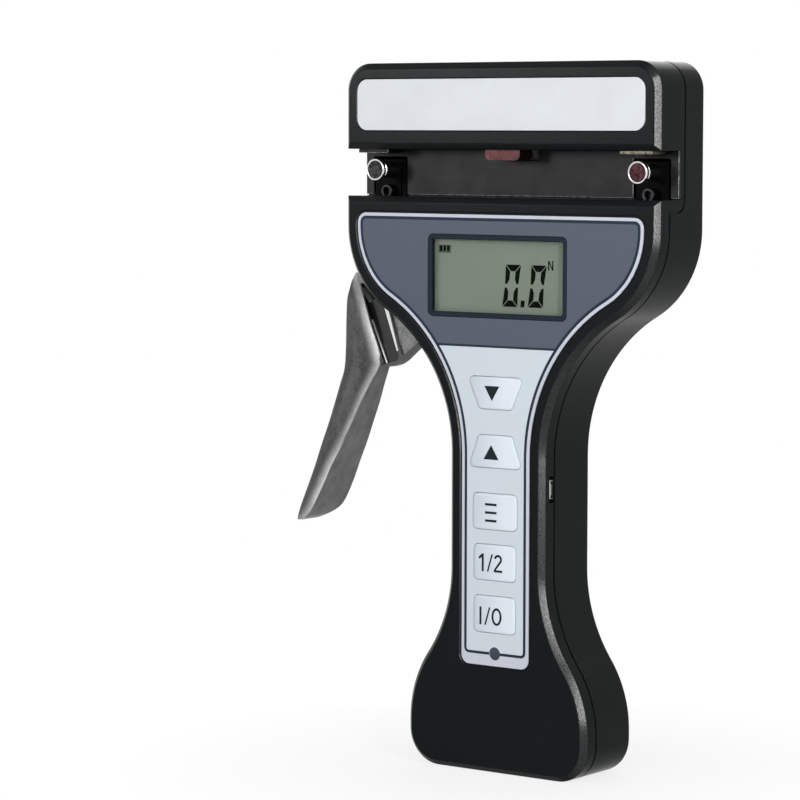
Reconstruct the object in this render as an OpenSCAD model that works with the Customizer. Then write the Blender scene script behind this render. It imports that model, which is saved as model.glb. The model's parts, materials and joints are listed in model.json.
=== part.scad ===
// Digital cable tension gauge, held and worked with one hand.
// Frame: X to the right, Y to the back, Z up, origin at the middle of the flat base.
// The front face lies at -Y. All sizes are in millimetres.

/* [Case] */
// Depth of the closed case, front face to back face
body_t = 33; // [30:0.5:40]
// Width of the head and of the top of the body
top_w = 148.2; // [146:0.1:160]
// Width of the grip
grip_w = 45; // [44:0.5:52]
// Width of the foot
foot_w = 85.2; // [76:0.1:92]
// Height of the throat floor above the base
body_h = 226; // [224:1:250]
// Height of the throat opening
throat_h = 18.6; // [18.2:0.1:20]
// Height of the head above the throat
head_h = 34; // [33.5:0.5:42]
// Width of the chamfer round the front face
bevel = 2.3; // [1.5:0.1:3]
// Rounding of the rear edges
rear_round = 2; // [1:0.1:2.4]
// Wall of both case halves
wall = 2.4; // [2:0.1:2.6]
// Depth of the front cover along the grip
cover_low = 8; // [7.5:0.1:8.5]
// Depth of the front cover at the head and the throat
cover_high = 18.5; // [18.2:0.1:19]
// Distance from the throat floor down to the step in the parting line
step_drop = 4.7; // [4:0.1:6]
// Radius of that step
step_r = 4.5; // [2:0.1:5]

/* [Outline] */
// Radius of the shoulders
shoulder_r = 39; // [35:0.5:42]
// Distance from the throat floor down to the start of the shoulders
shoulder_drop = 11.7; // [10:0.1:14]
// Radius of the hollow between shoulder and grip
waist_r = 63.5; // [58:0.5:70]
// Radius of the hollow between grip and foot
flare_r = 61.3; // [50:0.5:70]
// Height at which the grip starts to flare
flare_z = 80.5; // [78:0.5:86]
// Radius of the bulge of the foot
foot_r = 47.1; // [40:0.5:50]
// Radius of the lower corners
heel_r = 14; // [8:0.5:16]
// Radius of the upper corners of the head
head_r = 11; // [6:0.5:14]

/* [Throat] */
// Depth of the throat, front face to wear plate
throat_d = 14.5; // [14:0.1:15]
// Thickness of the wear plate
plate_t = 1.5; // [1:0.1:1.6]
// Distance from the side of the head to each post
post_in = 12.1; // [11.8:0.1:12.5]
// Height of the post axis above the throat floor
post_z = 10.4; // [10:0.1:10.6]
// Diameter of the post flange
flange_d = 8.8; // [8:0.1:9]
// Diameter of the post where the cable rests
post_d = 6.6; // [5.5:0.1:7]
// Width of the post brackets
bracket_w = 15; // [14:0.1:15.6]
// Width of the riser
riser_w = 16.5; // [14:0.5:18]
// Clear height between throat floor and riser
riser_z = 14.5; // [14:0.1:15]
// Height of the posts' travel
travel = 5.2; // [4:0.1:5.3]

/* [Trigger] */
// Height of the trigger and rocker pivots below the throat floor
mech_drop = 36; // [35:0.5:38]
// Distance from the side of the head to the trigger pivot
pivot_in = 26.1; // [25:0.1:28]
// Distance of the rocker pivot to the left of the centre
rocker_x = 14; // [13:0.5:15]
// Diameter of the two pivot pins
pin_d = 6; // [5:0.1:6.5]
// Running clearance of pins, rods and bushes on the radius
running = 0.05; // [0.02:0.01:0.09]
// Thickness of the trigger arm
arm_t = 5; // [4:0.1:5.2]

/* [Label and keys] */
// Distance from the case outline to the label outline
label_in = 6.6; // [6:0.1:8.5]
// Distance from the lowest key down to the label's lower edge
label_end = 13.1; // [11:0.1:16]
// Thickness of the label
label_t = 0.6; // [0.4:0.1:0.8]
// Width of the display frame
lcd_w = 66; // [60:0.5:68]
// Height of the display frame
lcd_h = 32.4; // [30:0.1:33]
// Distance from the throat floor down to the display frame
lcd_drop = 14.4; // [13.5:0.1:15]
// Height of the keys over the label
key_proud = 0.5; // [0.2:0.1:1]
// Travel of the keys
key_travel = 0.6; // [0.3:0.1:0.6]
// Distance from the throat floor down to the middle of the USB socket
usb_drop = 112.7; // [106:0.1:118]

/* [Hidden] */
$fn = 48;
// Clearance round what is let into the cover
fit_gap = 0.1;
// Clearance round each key
key_gap = 0.2;
// Groove between the label and the cover
label_gap = 0.7;
// Gap left between pieces that pass each other
side_gap = 0.3;
// A cut runs this far past the face that it opens
past = 1;
arc_steps = 14;

front_y = -body_t / 2;
back_y = body_t / 2;
low_y = front_y + cover_low;
high_y = front_y + cover_high;
inner_front_y = front_y + wall;
inner_back_y = back_y - wall;
half_top = top_w / 2;
half_grip = grip_w / 2;
half_foot = foot_w / 2;
head_z = body_h + throat_h;
total_h = head_z + head_h;
step_z = body_h - step_drop;
shoulder_z = body_h - shoulder_drop;
mech_z = body_h - mech_drop;

// Half angle of the shoulder and waist arcs, which touch each other
shoulder_sum = shoulder_r + waist_r;
shoulder_a = acos((shoulder_sum - half_top + half_grip) / shoulder_sum);
waist_z = shoulder_z - shoulder_sum * sin(shoulder_a);
// Half angle of the flare and foot arcs, which touch each other
flare_sum = flare_r + foot_r;
flare_a = acos((flare_sum - half_foot + half_grip) / flare_sum);

// Throat wall, from the wear plate to the back of the cover
plate_y = front_y + throat_d;
plate_back_y = plate_y + plate_t;
notch_gap = 0.8;
notch_w = bracket_w + 2 * notch_gap;
bracket_over = 4;
bracket_top = body_h + post_z + bracket_over;
notch_top = bracket_top + notch_gap + side_gap;
plate_lift = 0.4;
slot_half = riser_w / 2 + 1.45;
riser_gap = 0.5;

// Posts, brackets and the screws under the posts
post_x = half_top - post_in;
post_deep = 4;
post_front_y = front_y + post_deep;
flange_t = 2.3;
bracket_t = 3;
bracket_step_w = 2.4;
bracket_step_t = 0.6;
bracket_step_h = 4;
bracket_back_y = plate_y + bracket_t;
upright_t = 3;
upright_back_y = bracket_back_y + upright_t;
spigot_r = 2.5;
clamp_over = 1.7;
clamp_z = body_h + clamp_over;
m3_r = 1.5;
m3_head_r = 2.75;
m3_head_h = 3;
hex_r = 1.45;
hex_depth = 1.6;

// Post carriage and its guides
bar_drop = 7;
bar_h = 7;
bar_top = body_h - bar_drop;
bar_bottom = bar_top - bar_h;
lower_clamp_z = (bar_bottom + bar_top) / 2;
bar_front_y = -4.2;
rod_in = 18;
rod_x = post_x - rod_in;
rod_r = 2.5;
bush_r = 3.5;
lug_half = 5;
lug_t = 3;
upper_lug_z = bar_top + side_gap;
wire_r = 0.45;
coil_r = 3.35;
coil_turns = 4;
coil_spare = 1.2;
lower_lug_z = bar_bottom - travel - 2 * wire_r * coil_turns - coil_spare - lug_t;

// Load frame and the load cell
frame_t = 4;
frame_gap = 0.5;
frame_y = upright_back_y + frame_gap;
frame_back_y = frame_y + frame_t;
frame_in = 20.1;
frame_half = half_top - frame_in;
frame_under = 6;
frame_bottom = mech_z - frame_under;
frame_top_gap = 1.8;
frame_top = total_h - wall - frame_top_gap;
low_screw_in = 10;
low_screw_drop = 23.5;
top_screw_in = 8;
top_screw_drop = 9;
frame_screws_at = [
    [low_screw_in - rod_x, body_h - low_screw_drop],
    [rod_x - low_screw_in, body_h - low_screw_drop],
    [top_screw_in - frame_half, total_h - top_screw_drop],
    [frame_half - top_screw_in, total_h - top_screw_drop]
];
m4_r = 2;
m4_head_r = 3.5;
m4_head_h = 2;
frame_boss_r = 4;
cell_over = 9.4;
cell_z = head_z + cell_over;
cell_h = 12;
cell_in = 2;
cell_left = cell_in - frame_half;
cell_short = 0.25;
cell_right = riser_w / 2 - cell_short;
cell_deep = 6.5;
cell_front_y = front_y + cell_deep;
cell_back_y = high_y;
spacer_w = 18;
spacer_right = cell_left + spacer_w;
cell_screw_in = 4;
cell_screw_x = [cell_left + cell_screw_in, spacer_right - cell_screw_in];
gauge_in = 7;
gauge_apart = 14;
gauge_x = [spacer_right + gauge_in, spacer_right + gauge_in + gauge_apart];
gauge_r = 4.2;
gauge_slot = 1.5;
gauge_t = 0.2;
gauge_half = 3;
riser_screw_x = 4;
riser_screw_deep = 8;
riser_round = 2.2;

// Trigger, rocker and pivots
pin_r = pin_d / 2;
pivot_x = half_top - pivot_in;
bush_wall = 1.5;
hub_r = 7.5;
hub_half = 3.5;
drive_x = -2 * rocker_x;
link_pin_r = 2;
slot_slack = 0.6;
link_t = 1.5;
link_y = arm_t / 2 + side_gap;
link_back_y = link_y + link_t;
link_r = 4;
rocker_hub_r = 5;
clip_t = 0.8;
clip_r = 5.2;

// Keys from the top down: half width at the upper and at the lower edge, height, and
// place under the throat floor. The upper two are trapezia.
key_top_half = [12.3, 8.6, 10.4, 9.9, 9.8];
key_low_half = [8.4, 11.9, 10.4, 9.9, 9.8];
key_tall = [12.6, 12.8, 14.2, 14.1, 14.5];
key_drop = [69.6, 92.4, 115.3, 135.4, 155.7];
key_r = 2;
key_flange = 1;
key_flange_t = 1.2;
switch_half = 3;
switch_t = 2.4;

// Board and what sits on it
board_front_y = low_y - side_gap;
board_t = 1.6;
label_z = body_h - key_drop[4] - key_tall[4] - label_end;
board_margin = 5;
board_half = lcd_w / 2 + board_margin;
strip_half = 13;
board_top_drop = 12;
board_top = body_h - board_top_drop;
board_tall = 38;
board_neck = board_top - board_tall;
board_under = 0.7;
board_bottom = label_z - board_under;
board_edge = 2;
board_screw_in = 6;
strip_edge = 3.5;
strip_screw_in = 3;
board_screws_at = [
    [board_edge - board_half, board_neck + board_screw_in],
    [board_half - board_edge, board_neck + board_screw_in],
    [board_edge - board_half, board_top - board_screw_in],
    [board_half - board_edge, board_top - board_screw_in],
    [strip_edge - strip_half, board_bottom + strip_screw_in],
    [strip_half - strip_edge, board_bottom + strip_screw_in]
];
board_boss_r = 2.6;
m25_r = 1.1;
m25_head_r = 2.2;
m25_head_h = 1.4;
m25_deep = 5;
usb_z = body_h - usb_drop;
usb_half = 3.75;
usb_t = 2.8;
usb_deep = 6;
usb_mouth_half = 5.2;
usb_tab_half = 7;
lamp_over = 4.9;
lamp_z = label_z + lamp_over;
lamp_r = 2.5;

// Cell in the grip
cell_pack_r = 9.2;
cell_pack_len = 65;
cell_pack_over = 3.3;
cell_pack_z = label_z + cell_pack_over;
cell_pack_gap = 0.5;
cell_pack_y = inner_back_y - cell_pack_r - cell_pack_gap;
cradle_wall = 2;

// Case screws, as distance from the centre and height
head_screw_in = 14.1;
head_screw_drop = 16.6;
body_screw_drop = 25;
waist_screw_in = 5.5;
waist_screw_over = 14.7;
flare_screw_in = 5;
flare_screw_drop = 16.5;
foot_screw_in = 12.6;
foot_screw_over = 2;
case_screws_at = [
    [half_top - head_screw_in, total_h - head_screw_drop],
    [post_x, body_h - body_screw_drop],
    [half_grip - waist_screw_in, waist_z + waist_screw_over],
    [half_grip - flare_screw_in, flare_z - flare_screw_drop],
    [half_foot - foot_screw_in, heel_r + foot_screw_over]
];
case_boss_r = 3.5;
case_head_r = 2.9;
case_head_h = 2.2;
shank_gap = 0.2;

// Points on an arc round [cx, cz], from angle a0 to angle a1. An arc that goes on from
// the end of another starts with its second point, so that no point comes twice.
function arc(cx, cz, r, a0, a1, steps = arc_steps, first = 0) =
    [for (i = [first:steps]) let (a = a0 + (a1 - a0) * i / steps)
        [cx + r * cos(a), cz + r * sin(a)]];

// A closed outline from its right half, which runs from top to bottom
function both_halves(right) =
    concat(right, [for (i = [len(right) - 1:-1:0]) [-right[i][0], right[i][1]]]);

// Shoulder and waist of the right half, moved in by d
function shoulder_half(d) = concat(
    arc(half_top - shoulder_r, shoulder_z, shoulder_r - d, 0, -shoulder_a),
    arc(half_grip + waist_r, waist_z, waist_r + d,
        180 - shoulder_a, 180, first = 1));

// Flare, foot and lower corner of the right half, moved in by d
function foot_half(d) = concat(
    arc(half_grip + flare_r, flare_z, flare_r + d, 180, 180 + flare_a),
    arc(half_foot - foot_r, flare_z - flare_sum * sin(flare_a), foot_r - d, flare_a, 0,
        first = 1),
    arc(half_foot - heel_r, heel_r, heel_r - d, 0, -90));

// Outlines moved in by d: body under the throat, head over it, and the whole case
function body_outline(d) = both_halves(concat(
    [[half_top - d, body_h - d]], shoulder_half(d), foot_half(d)));
function head_outline(d) = both_halves(concat(
    arc(half_top - head_r, total_h - head_r, head_r - d, 90, 0),
    [[half_top - d, head_z + d]]));
function case_outline(d) = both_halves(concat(
    arc(half_top - head_r, total_h - head_r, head_r - d, 90, 0),
    shoulder_half(d), foot_half(d)));

// Outline of the label, with a gap of g round it when g is below 0
label_top = body_h - label_in;
label_corner = 4;
label_tip_r = 3.5;
function label_outline(g) =
    let (d = label_in + g, half = half_top - d, strip = half_grip - d)
    both_halves(concat(
        arc(half - label_corner, label_top - g - label_corner, label_corner, 90, 0),
        shoulder_half(d),
        arc(strip - label_tip_r, label_z + g + label_tip_r, label_tip_r, 0, -90)));

// A flat outline in X and Z, filled from y0 to y1
module slab(points, y0, y1) {
    translate([0, y1, 0]) rotate([90, 0, 0]) linear_extrude(y1 - y0) polygon(points);
}

// A box given by its limits
module box(x, y, z) {
    translate([x[0], y[0], z[0]]) cube([x[1] - x[0], y[1] - y[0], z[1] - z[0]]);
}

// A round bar along Y at x and z
module bar_y(x, z, r, y0, y1) {
    translate([x, y1, z]) rotate([90, 0, 0]) cylinder(r = r, h = y1 - y0);
}

// A round bar along Z at x and y
module bar_z(x, y, r, z0, z1) {
    translate([x, y, z0]) cylinder(r = r, h = z1 - z0);
}

// A rectangle with round corners in X and Z, from y0 to y1
module round_slab(half, z0, z1, r, y0, y1) {
    slab(concat(
        arc(half - r, z1 - r, r, 90, 0, 4), arc(half - r, z0 + r, r, 0, -90, 4),
        arc(-half + r, z0 + r, r, 270, 180, 4), arc(-half + r, z1 - r, r, 180, 90, 4)),
        y0, y1);
}

// A skin over symmetric outlines of equal length that lie at rising y. Its two ends are
// made of strips from side to side, which stay inside a waisted outline.
module loft(outlines, ys) {
    n = len(outlines[0]);
    last = len(ys) - 1;
    polyhedron(
        points = [for (k = [0:last]) for (p = outlines[k]) [p[0], ys[k], p[1]]],
        faces = concat(
            [for (i = [0:n / 2 - 2]) [i, i + 1, n - 2 - i, n - 1 - i]],
            [for (i = [0:n / 2 - 2]) [for (j = [n - 1 - i, n - 2 - i, i + 1, i]) last * n + j]],
            [for (k = [0:last - 1]) for (i = [0:n - 1]) let (j = (i + 1) % n)
                [k * n + i, (k + 1) * n + i, (k + 1) * n + j, k * n + j]]));
}

// A spring wire wound round the Z axis, from z = 0 to z = length
module coil(radius, wire, length, turns, sides = 6, per_turn = 12) {
    steps = turns * per_turn;
    rise = length - 2 * wire;
    points = [for (i = [0:steps]) for (s = [0:sides - 1])
        let (a = 360 * i / per_turn, b = 360 * s / sides, r = radius + wire * cos(b))
        [r * cos(a), r * sin(a), wire + rise * i / steps + wire * sin(b)]];
    polyhedron(points, concat(
        [[for (s = [0:sides - 1]) s]],
        [[for (s = [sides - 1:-1:0]) steps * sides + s]],
        [for (i = [0:steps - 1]) for (s = [0:sides - 1]) let (t = (s + 1) % sides)
            each [[i * sides + s, (i + 1) * sides + s, (i + 1) * sides + t],
                  [i * sides + s, (i + 1) * sides + t, i * sides + t]]]));
}

// Repeats a piece on the left side as its mirror image
module both_sides() {
    children();
    mirror([1, 0, 0]) children();
}

// An outline in Y and Z, filled across the whole width
module across(points) {
    x = half_top + past;
    translate([-x, 0, 0]) rotate([90, 0, 90]) linear_extrude(2 * x) polygon(points);
}

// The parting line seen from the side, from the grip up to the throat
step_line = concat([[low_y, step_z]],
    arc(high_y - step_r, step_z + step_r, step_r, -90, 0, 6));
module behind_step() {
    across(concat([[low_y, -past]], step_line,
        [[high_y + past, step_z + step_r], [high_y + past, -past]]));
}
module before_step() {
    across(concat([[low_y - past, step_z]], [for (i = [1:len(step_line) - 1]) step_line[i]],
        [[high_y, total_h + past], [low_y - past, total_h + past]]));
}

// Wall of the front cover with the throat cut through it
module front_shell() {
    difference() {
        loft([case_outline(bevel), case_outline(0), case_outline(0)],
            [front_y, front_y + bevel, high_y]);
        across([[front_y - past, body_h - bevel - past], [front_y + bevel, body_h],
            [plate_back_y, body_h], [plate_back_y, head_z], [front_y + bevel, head_z],
            [front_y - past, head_z + bevel + past]]);
        slab(body_outline(wall), inner_front_y, high_y + past);
        slab(head_outline(wall), inner_front_y, high_y + past);
        behind_step();
    }
}

// Screw bosses inside the front cover
module front_bosses() {
    both_sides() for (p = case_screws_at)
        bar_y(p[0], p[1], case_boss_r, inner_front_y - past,
            p[1] > step_z ? high_y : low_y);
    for (p = board_screws_at)
        bar_y(p[0], p[1], board_boss_r, inner_front_y - past, board_front_y);
}

// Outline of a key, with a gap of g round it
function key_outline(i, g) =
    let (r = key_r + g, z1 = body_h - key_drop[i] + g, z0 = z1 - key_tall[i] - 2 * g)
    both_halves(concat(
        arc(key_top_half[i] + g - r, z1 - r, r, 90, 0, 4),
        arc(key_low_half[i] + g - r, z0 + r, r, 0, -90, 4)));
module key_hole(i) {
    slab(key_outline(i, key_gap), front_y - past, inner_front_y + past);
}

lcd_top = body_h - lcd_drop;
lcd_bottom = lcd_top - lcd_h;
lcd_border = 2;
bezel_t = 1.4;
window_edge = 1;

module front_cover() {
    color([0.17, 0.18, 0.19]) difference() {
        union() {
            front_shell();
            front_bosses();
        }
        slab(label_outline(-label_gap), front_y - past, front_y + label_t);
        round_slab(plate_half + fit_gap, plate_z0 - fit_gap, plate_z1 + fit_gap,
            plate_r + fit_gap, front_y - past, front_y + plate_deep);
        round_slab(lcd_w / 2 + fit_gap, lcd_bottom - fit_gap, lcd_top + fit_gap, 2.5,
            front_y - past, front_y + bezel_t);
        round_slab(lcd_w / 2 - window_edge + fit_gap, lcd_bottom + window_edge - fit_gap,
            lcd_top - window_edge + fit_gap, 1, front_y - past, inner_front_y + past);
        for (i = [0:4]) key_hole(i);
        bar_y(0, lamp_z, lamp_r + fit_gap, front_y - past, inner_front_y + past);
        both_sides() {
            box([post_x - notch_w / 2, post_x + notch_w / 2],
                [plate_y - m3_head_h - past, high_y + past], [body_h - wall - past, notch_top]);
            for (p = case_screws_at)
                bar_y(p[0], p[1], m3_r, front_y + wall, high_y + past);
        }
        box([-slot_half, slot_half], [plate_y, high_y + past],
            [body_h + riser_z, head_z + wall + past]);
        box([-riser_w / 2 - riser_gap, riser_w / 2 + riser_gap],
            [post_front_y - riser_gap, plate_y + past],
            [head_z - past, head_z + wall + past]);
        for (p = board_screws_at)
            bar_y(p[0], p[1], m25_r, inner_front_y, board_front_y + past);
        box([half_grip - wall - past, half_grip + past],
            [board_front_y - usb_t - 0.6, low_y + past],
            [usb_z - usb_mouth_half, usb_z + usb_mouth_half]);
    }
}

// Wall of the rear casing, with its rounded back edges
module rear_shell() {
    r = rear_round;
    difference() {
        loft([case_outline(0), case_outline(0), case_outline(r * 0.3), case_outline(r)],
            [low_y, back_y - r, back_y - r * 0.3, back_y]);
        slab(case_outline(wall), low_y - past, inner_back_y);
        before_step();
    }
}

// Slot in the left side for the trigger's arm
slot_side = 1.1;
slot_in = 10;
slot_under = 26;
slot_over = 4.5;

module rear_casing() {
    slot_y = arm_t / 2 + slot_side;
    color([0.17, 0.18, 0.19]) difference() {
        union() {
            rear_shell();
            both_sides() for (p = case_screws_at)
                bar_y(p[0], p[1], case_boss_r, p[1] > step_z ? high_y : low_y,
                    inner_back_y + past);
            for (p = frame_screws_at)
                bar_y(p[0], p[1], frame_boss_r, frame_back_y, inner_back_y + past);
        }
        both_sides() for (p = case_screws_at) {
            bar_y(p[0], p[1], m3_r + shank_gap, low_y - past, back_y + past);
            bar_y(p[0], p[1], case_head_r + fit_gap, back_y - case_head_h, back_y + past);
        }
        for (p = frame_screws_at)
            bar_y(p[0], p[1], m4_r, frame_back_y - past, inner_back_y);
        box([-half_top - past, -half_grip - slot_in], [-slot_y, slot_y],
            [mech_z - slot_under, mech_z + slot_over]);
        box([half_grip - wall - past, half_grip + past], [low_y - past, low_y + 0.4],
            [usb_z - usb_mouth_half, usb_z + usb_mouth_half]);
    }
}

// Bare plate let into the head
plate_in = 6.25;
plate_low = 7.5;
plate_high = 6.4;
plate_half = half_top - plate_in;
plate_z0 = head_z + plate_low;
plate_z1 = total_h - plate_high;
plate_r = 4.7;
plate_deep = 1;
module head_plate() {
    color([0.86, 0.88, 0.9])
        round_slab(plate_half, plate_z0, plate_z1, plate_r, front_y, front_y + plate_deep);
}

module overlay_label() {
    color([0.7, 0.74, 0.8]) difference() {
        slab(label_outline(0), front_y, front_y + label_t);
        round_slab(lcd_w / 2 + fit_gap, lcd_bottom - fit_gap, lcd_top + fit_gap, 2.5,
            front_y - past, front_y + label_t + past);
        for (i = [0:4]) key_hole(i);
        bar_y(0, lamp_z, lamp_r + fit_gap, front_y - past, front_y + label_t + past);
    }
}

module lcd_bezel() {
    color([0.25, 0.3, 0.35]) difference() {
        round_slab(lcd_w / 2, lcd_bottom, lcd_top, 2.4, front_y, front_y + bezel_t);
        round_slab(lcd_w / 2 - lcd_border, lcd_bottom + lcd_border, lcd_top - lcd_border, 1,
            front_y - past, front_y + bezel_t + past);
    }
}

module lcd_window() {
    color([0.75, 0.8, 0.7, 0.4])
        round_slab(lcd_w / 2 - window_edge, lcd_bottom + window_edge, lcd_top - window_edge, 1,
            front_y + bezel_t, inner_front_y);
}

glass_y = inner_front_y + side_gap;
glass_t = 2.6;
module lcd_glass() {
    color([0.5, 0.53, 0.46])
        box([-lcd_w / 2 + 1.5, lcd_w / 2 - 1.5], [glass_y, glass_y + glass_t],
            [lcd_bottom + 1.2, lcd_top - 1.2]);
}

// Carries the display glass on the board
module lcd_holder() {
    color([0.9, 0.9, 0.88])
        box([-lcd_w / 2 + 1, lcd_w / 2 - 1], [glass_y + glass_t, board_front_y],
            [lcd_bottom + 0.8, lcd_top - 0.8]);
}

module main_board() {
    color([0.1, 0.35, 0.2]) difference() {
        union() {
            box([-board_half, board_half], [board_front_y, board_front_y + board_t],
                [board_neck, board_top]);
            box([-strip_half, strip_half], [board_front_y, board_front_y + board_t],
                [board_bottom, board_neck + past]);
            box([strip_half - past, half_grip - wall - shank_gap],
                [board_front_y, board_front_y + board_t],
                [usb_z - usb_tab_half, usb_z + usb_tab_half]);
        }
        for (p = board_screws_at)
            bar_y(p[0], p[1], m25_r + shank_gap, board_front_y - past,
                board_front_y + board_t + past);
    }
}

module board_screws() {
    y0 = board_front_y + board_t;
    color([0.7, 0.7, 0.7]) for (p = board_screws_at) {
        bar_y(p[0], p[1], m25_r, y0 - m25_deep, y0);
        bar_y(p[0], p[1], m25_head_r, y0, y0 + m25_head_h);
    }
}

// One push switch under each key
module key_switches() {
    top_y = inner_front_y + key_flange_t + fit_gap + key_travel + 0.1;
    for (i = [0:4]) {
        z = body_h - key_drop[i] - key_tall[i] / 2;
        color([0.15, 0.15, 0.16])
            box([-switch_half, switch_half], [board_front_y - switch_t, board_front_y],
                [z - switch_half, z + switch_half]);
        color([0.6, 0.6, 0.6])
            bar_y(0, z, 1.75, top_y, board_front_y - switch_t);
    }
}

// A key stands through cover and label, and a flange behind holds it in
module key(i) {
    back = inner_front_y + fit_gap;
    color([0.78, 0.81, 0.86]) {
        slab(key_outline(i, 0), front_y - key_proud, back + key_flange_t / 2);
        slab(key_outline(i, key_flange), back, back + key_flange_t);
    }
}
module key_down() { key(0); }
module key_up() { key(1); }
module key_mode() { key(2); }
module key_unit() { key(3); }
module key_power() { key(4); }

// Socket on the edge of the board, with its tongue inside
module usb_port() {
    x1 = half_grip - 0.3;
    shell = 0.4;
    color([0.75, 0.75, 0.77]) {
        difference() {
            box([x1 - usb_deep, x1], [board_front_y - usb_t, board_front_y],
                [usb_z - usb_half, usb_z + usb_half]);
            box([x1 - usb_deep + 1, x1 + past],
                [board_front_y - usb_t + shell, board_front_y - shell],
                [usb_z - usb_half + shell, usb_z + usb_half - shell]);
        }
        box([x1 - usb_deep + 0.5, x1 - 1],
            [board_front_y - usb_t / 2 - 0.3, board_front_y - usb_t / 2 + 0.3],
            [usb_z - 2.2, usb_z + 2.2]);
    }
}

module indicator_lens() {
    color([0.12, 0.12, 0.14]) {
        bar_y(0, lamp_z, lamp_r, front_y, inner_front_y);
        bar_y(0, lamp_z, lamp_r + 0.8, inner_front_y, inner_front_y + 1);
    }
}

module indicator_lamp() {
    color([0.8, 0.8, 0.75]) {
        bar_y(0, lamp_z, 1.5, inner_front_y + 1 + side_gap, board_front_y);
        bar_y(0, lamp_z, 1.9, board_front_y - 1, board_front_y);
    }
}

module power_cell() {
    color([0.2, 0.45, 0.65]) {
        bar_z(0, cell_pack_y, cell_pack_r, cell_pack_z, cell_pack_z + cell_pack_len);
        bar_z(0, cell_pack_y, 2.8, cell_pack_z + cell_pack_len,
            cell_pack_z + cell_pack_len + 1);
    }
}

// Holds the cell against the back of the grip
module cell_cradle() {
    half = cell_pack_r + cradle_wall;
    color([0.12, 0.12, 0.13]) difference() {
        box([-half, half], [cell_pack_y - 1.5, inner_back_y],
            [cell_pack_z - cradle_wall - 0.3, cell_pack_z + cell_pack_len + cradle_wall + 1.3]);
        bar_z(0, cell_pack_y, cell_pack_r + 0.15, cell_pack_z - 0.3,
            cell_pack_z + cell_pack_len + 1.3);
        box([-cell_pack_r - 0.15, cell_pack_r + 0.15], [cell_pack_y - 3, cell_pack_y],
            [cell_pack_z - 0.3, cell_pack_z + cell_pack_len + 1.3]);
    }
}

// Back wall of the throat, notched for the brackets and the riser
module wear_plate() {
    color([0.27, 0.28, 0.29]) difference() {
        box([-half_top, half_top], [plate_y, plate_back_y], [body_h + plate_lift, head_z]);
        both_sides() box([post_x - notch_w / 2, post_x + notch_w / 2],
            [plate_y - past, plate_back_y + past], [body_h - past, notch_top]);
        box([-slot_half, slot_half], [plate_y - past, plate_back_y + past],
            [body_h + riser_z, head_z + past]);
    }
}

// Plate that ties the head to the body behind the throat
module load_frame() {
    color([0.62, 0.64, 0.66]) difference() {
        union() {
            box([-frame_half, frame_half], [frame_y, frame_back_y], [frame_bottom, frame_top]);
            both_sides() for (z = [lower_lug_z, upper_lug_z])
                box([rod_x - lug_half, rod_x + lug_half], [bar_front_y, frame_y + past],
                    [z, z + lug_t]);
        }
        for (x = [-pivot_x, -rocker_x])
            bar_y(x, mech_z, pin_r, frame_y - past, frame_back_y + past);
        both_sides() bar_z(rod_x, 0, rod_r, lower_lug_z - past, upper_lug_z + lug_t + past);
        for (p = frame_screws_at)
            bar_y(p[0], p[1], m4_r + shank_gap, frame_y - past, frame_back_y + past);
        for (x = cell_screw_x)
            bar_y(x, cell_z + cell_h / 2, m4_r, frame_y - past, frame_back_y + past);
    }
}

module frame_screws() {
    color([0.7, 0.7, 0.7]) for (p = frame_screws_at) {
        bar_y(p[0], p[1], m4_r, frame_y, frame_back_y + 4);
        bar_y(p[0], p[1], m4_head_r, frame_y - m4_head_h, frame_y);
    }
}

// Bending beam, thinned in the middle by two joined bores
module load_cell() {
    mid = cell_z + cell_h / 2;
    color([0.75, 0.76, 0.78]) difference() {
        box([cell_left, cell_right], [cell_front_y, cell_back_y], [cell_z, cell_z + cell_h]);
        for (x = gauge_x) bar_y(x, mid, gauge_r, cell_front_y - past, cell_back_y + past);
        box([gauge_x[0], gauge_x[1]], [cell_front_y - past, cell_back_y + past],
            [mid - gauge_slot, mid + gauge_slot]);
        for (x = cell_screw_x)
            bar_y(x, mid, m4_r + shank_gap, cell_front_y - past, cell_back_y + past);
        for (x = [-riser_screw_x, riser_screw_x])
            bar_z(x, riser_screw_y, m3_r + shank_gap, cell_z - past, cell_z + cell_h + past);
    }
}

module cell_spacer() {
    mid = cell_z + cell_h / 2;
    color([0.6, 0.6, 0.62]) difference() {
        box([cell_left, spacer_right], [cell_back_y, frame_y], [cell_z, cell_z + cell_h]);
        for (x = cell_screw_x)
            bar_y(x, mid, m4_r + shank_gap, cell_back_y - past, frame_y + past);
    }
}

module cell_screws() {
    mid = cell_z + cell_h / 2;
    color([0.7, 0.7, 0.7]) for (x = cell_screw_x) {
        bar_y(x, mid, m4_r, cell_front_y, frame_back_y);
        bar_y(x, mid, m4_head_r, cell_front_y - m4_head_h, cell_front_y);
    }
}

module strain_gauges() {
    color([0.8, 0.6, 0.3]) for (x = gauge_x) for (z = [cell_z - gauge_t, cell_z + cell_h])
        box([x - gauge_half, x + gauge_half],
            [cell_front_y + gauge_half, cell_back_y - gauge_half], [z, z + gauge_t]);
}

// Bronze block that bends the cable; its lower edges are rounded
riser_back_y = plate_y - 1.5;
riser_screw_y = (cell_front_y + riser_back_y) / 2;
module riser() {
    z0 = body_h + riser_z;
    half = riser_w / 2;
    r = riser_round;
    color([0.42, 0.31, 0.29]) difference() {
        slab(concat([[half, cell_z]], arc(half - r, z0 + r, r, 0, -90, 6),
            arc(-half + r, z0 + r, r, 270, 180, 6), [[-half, cell_z]]),
            post_front_y, riser_back_y);
        for (x = [-riser_screw_x, riser_screw_x])
            bar_z(x, riser_screw_y, m3_r, cell_z - riser_screw_deep, cell_z + past);
    }
}

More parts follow.
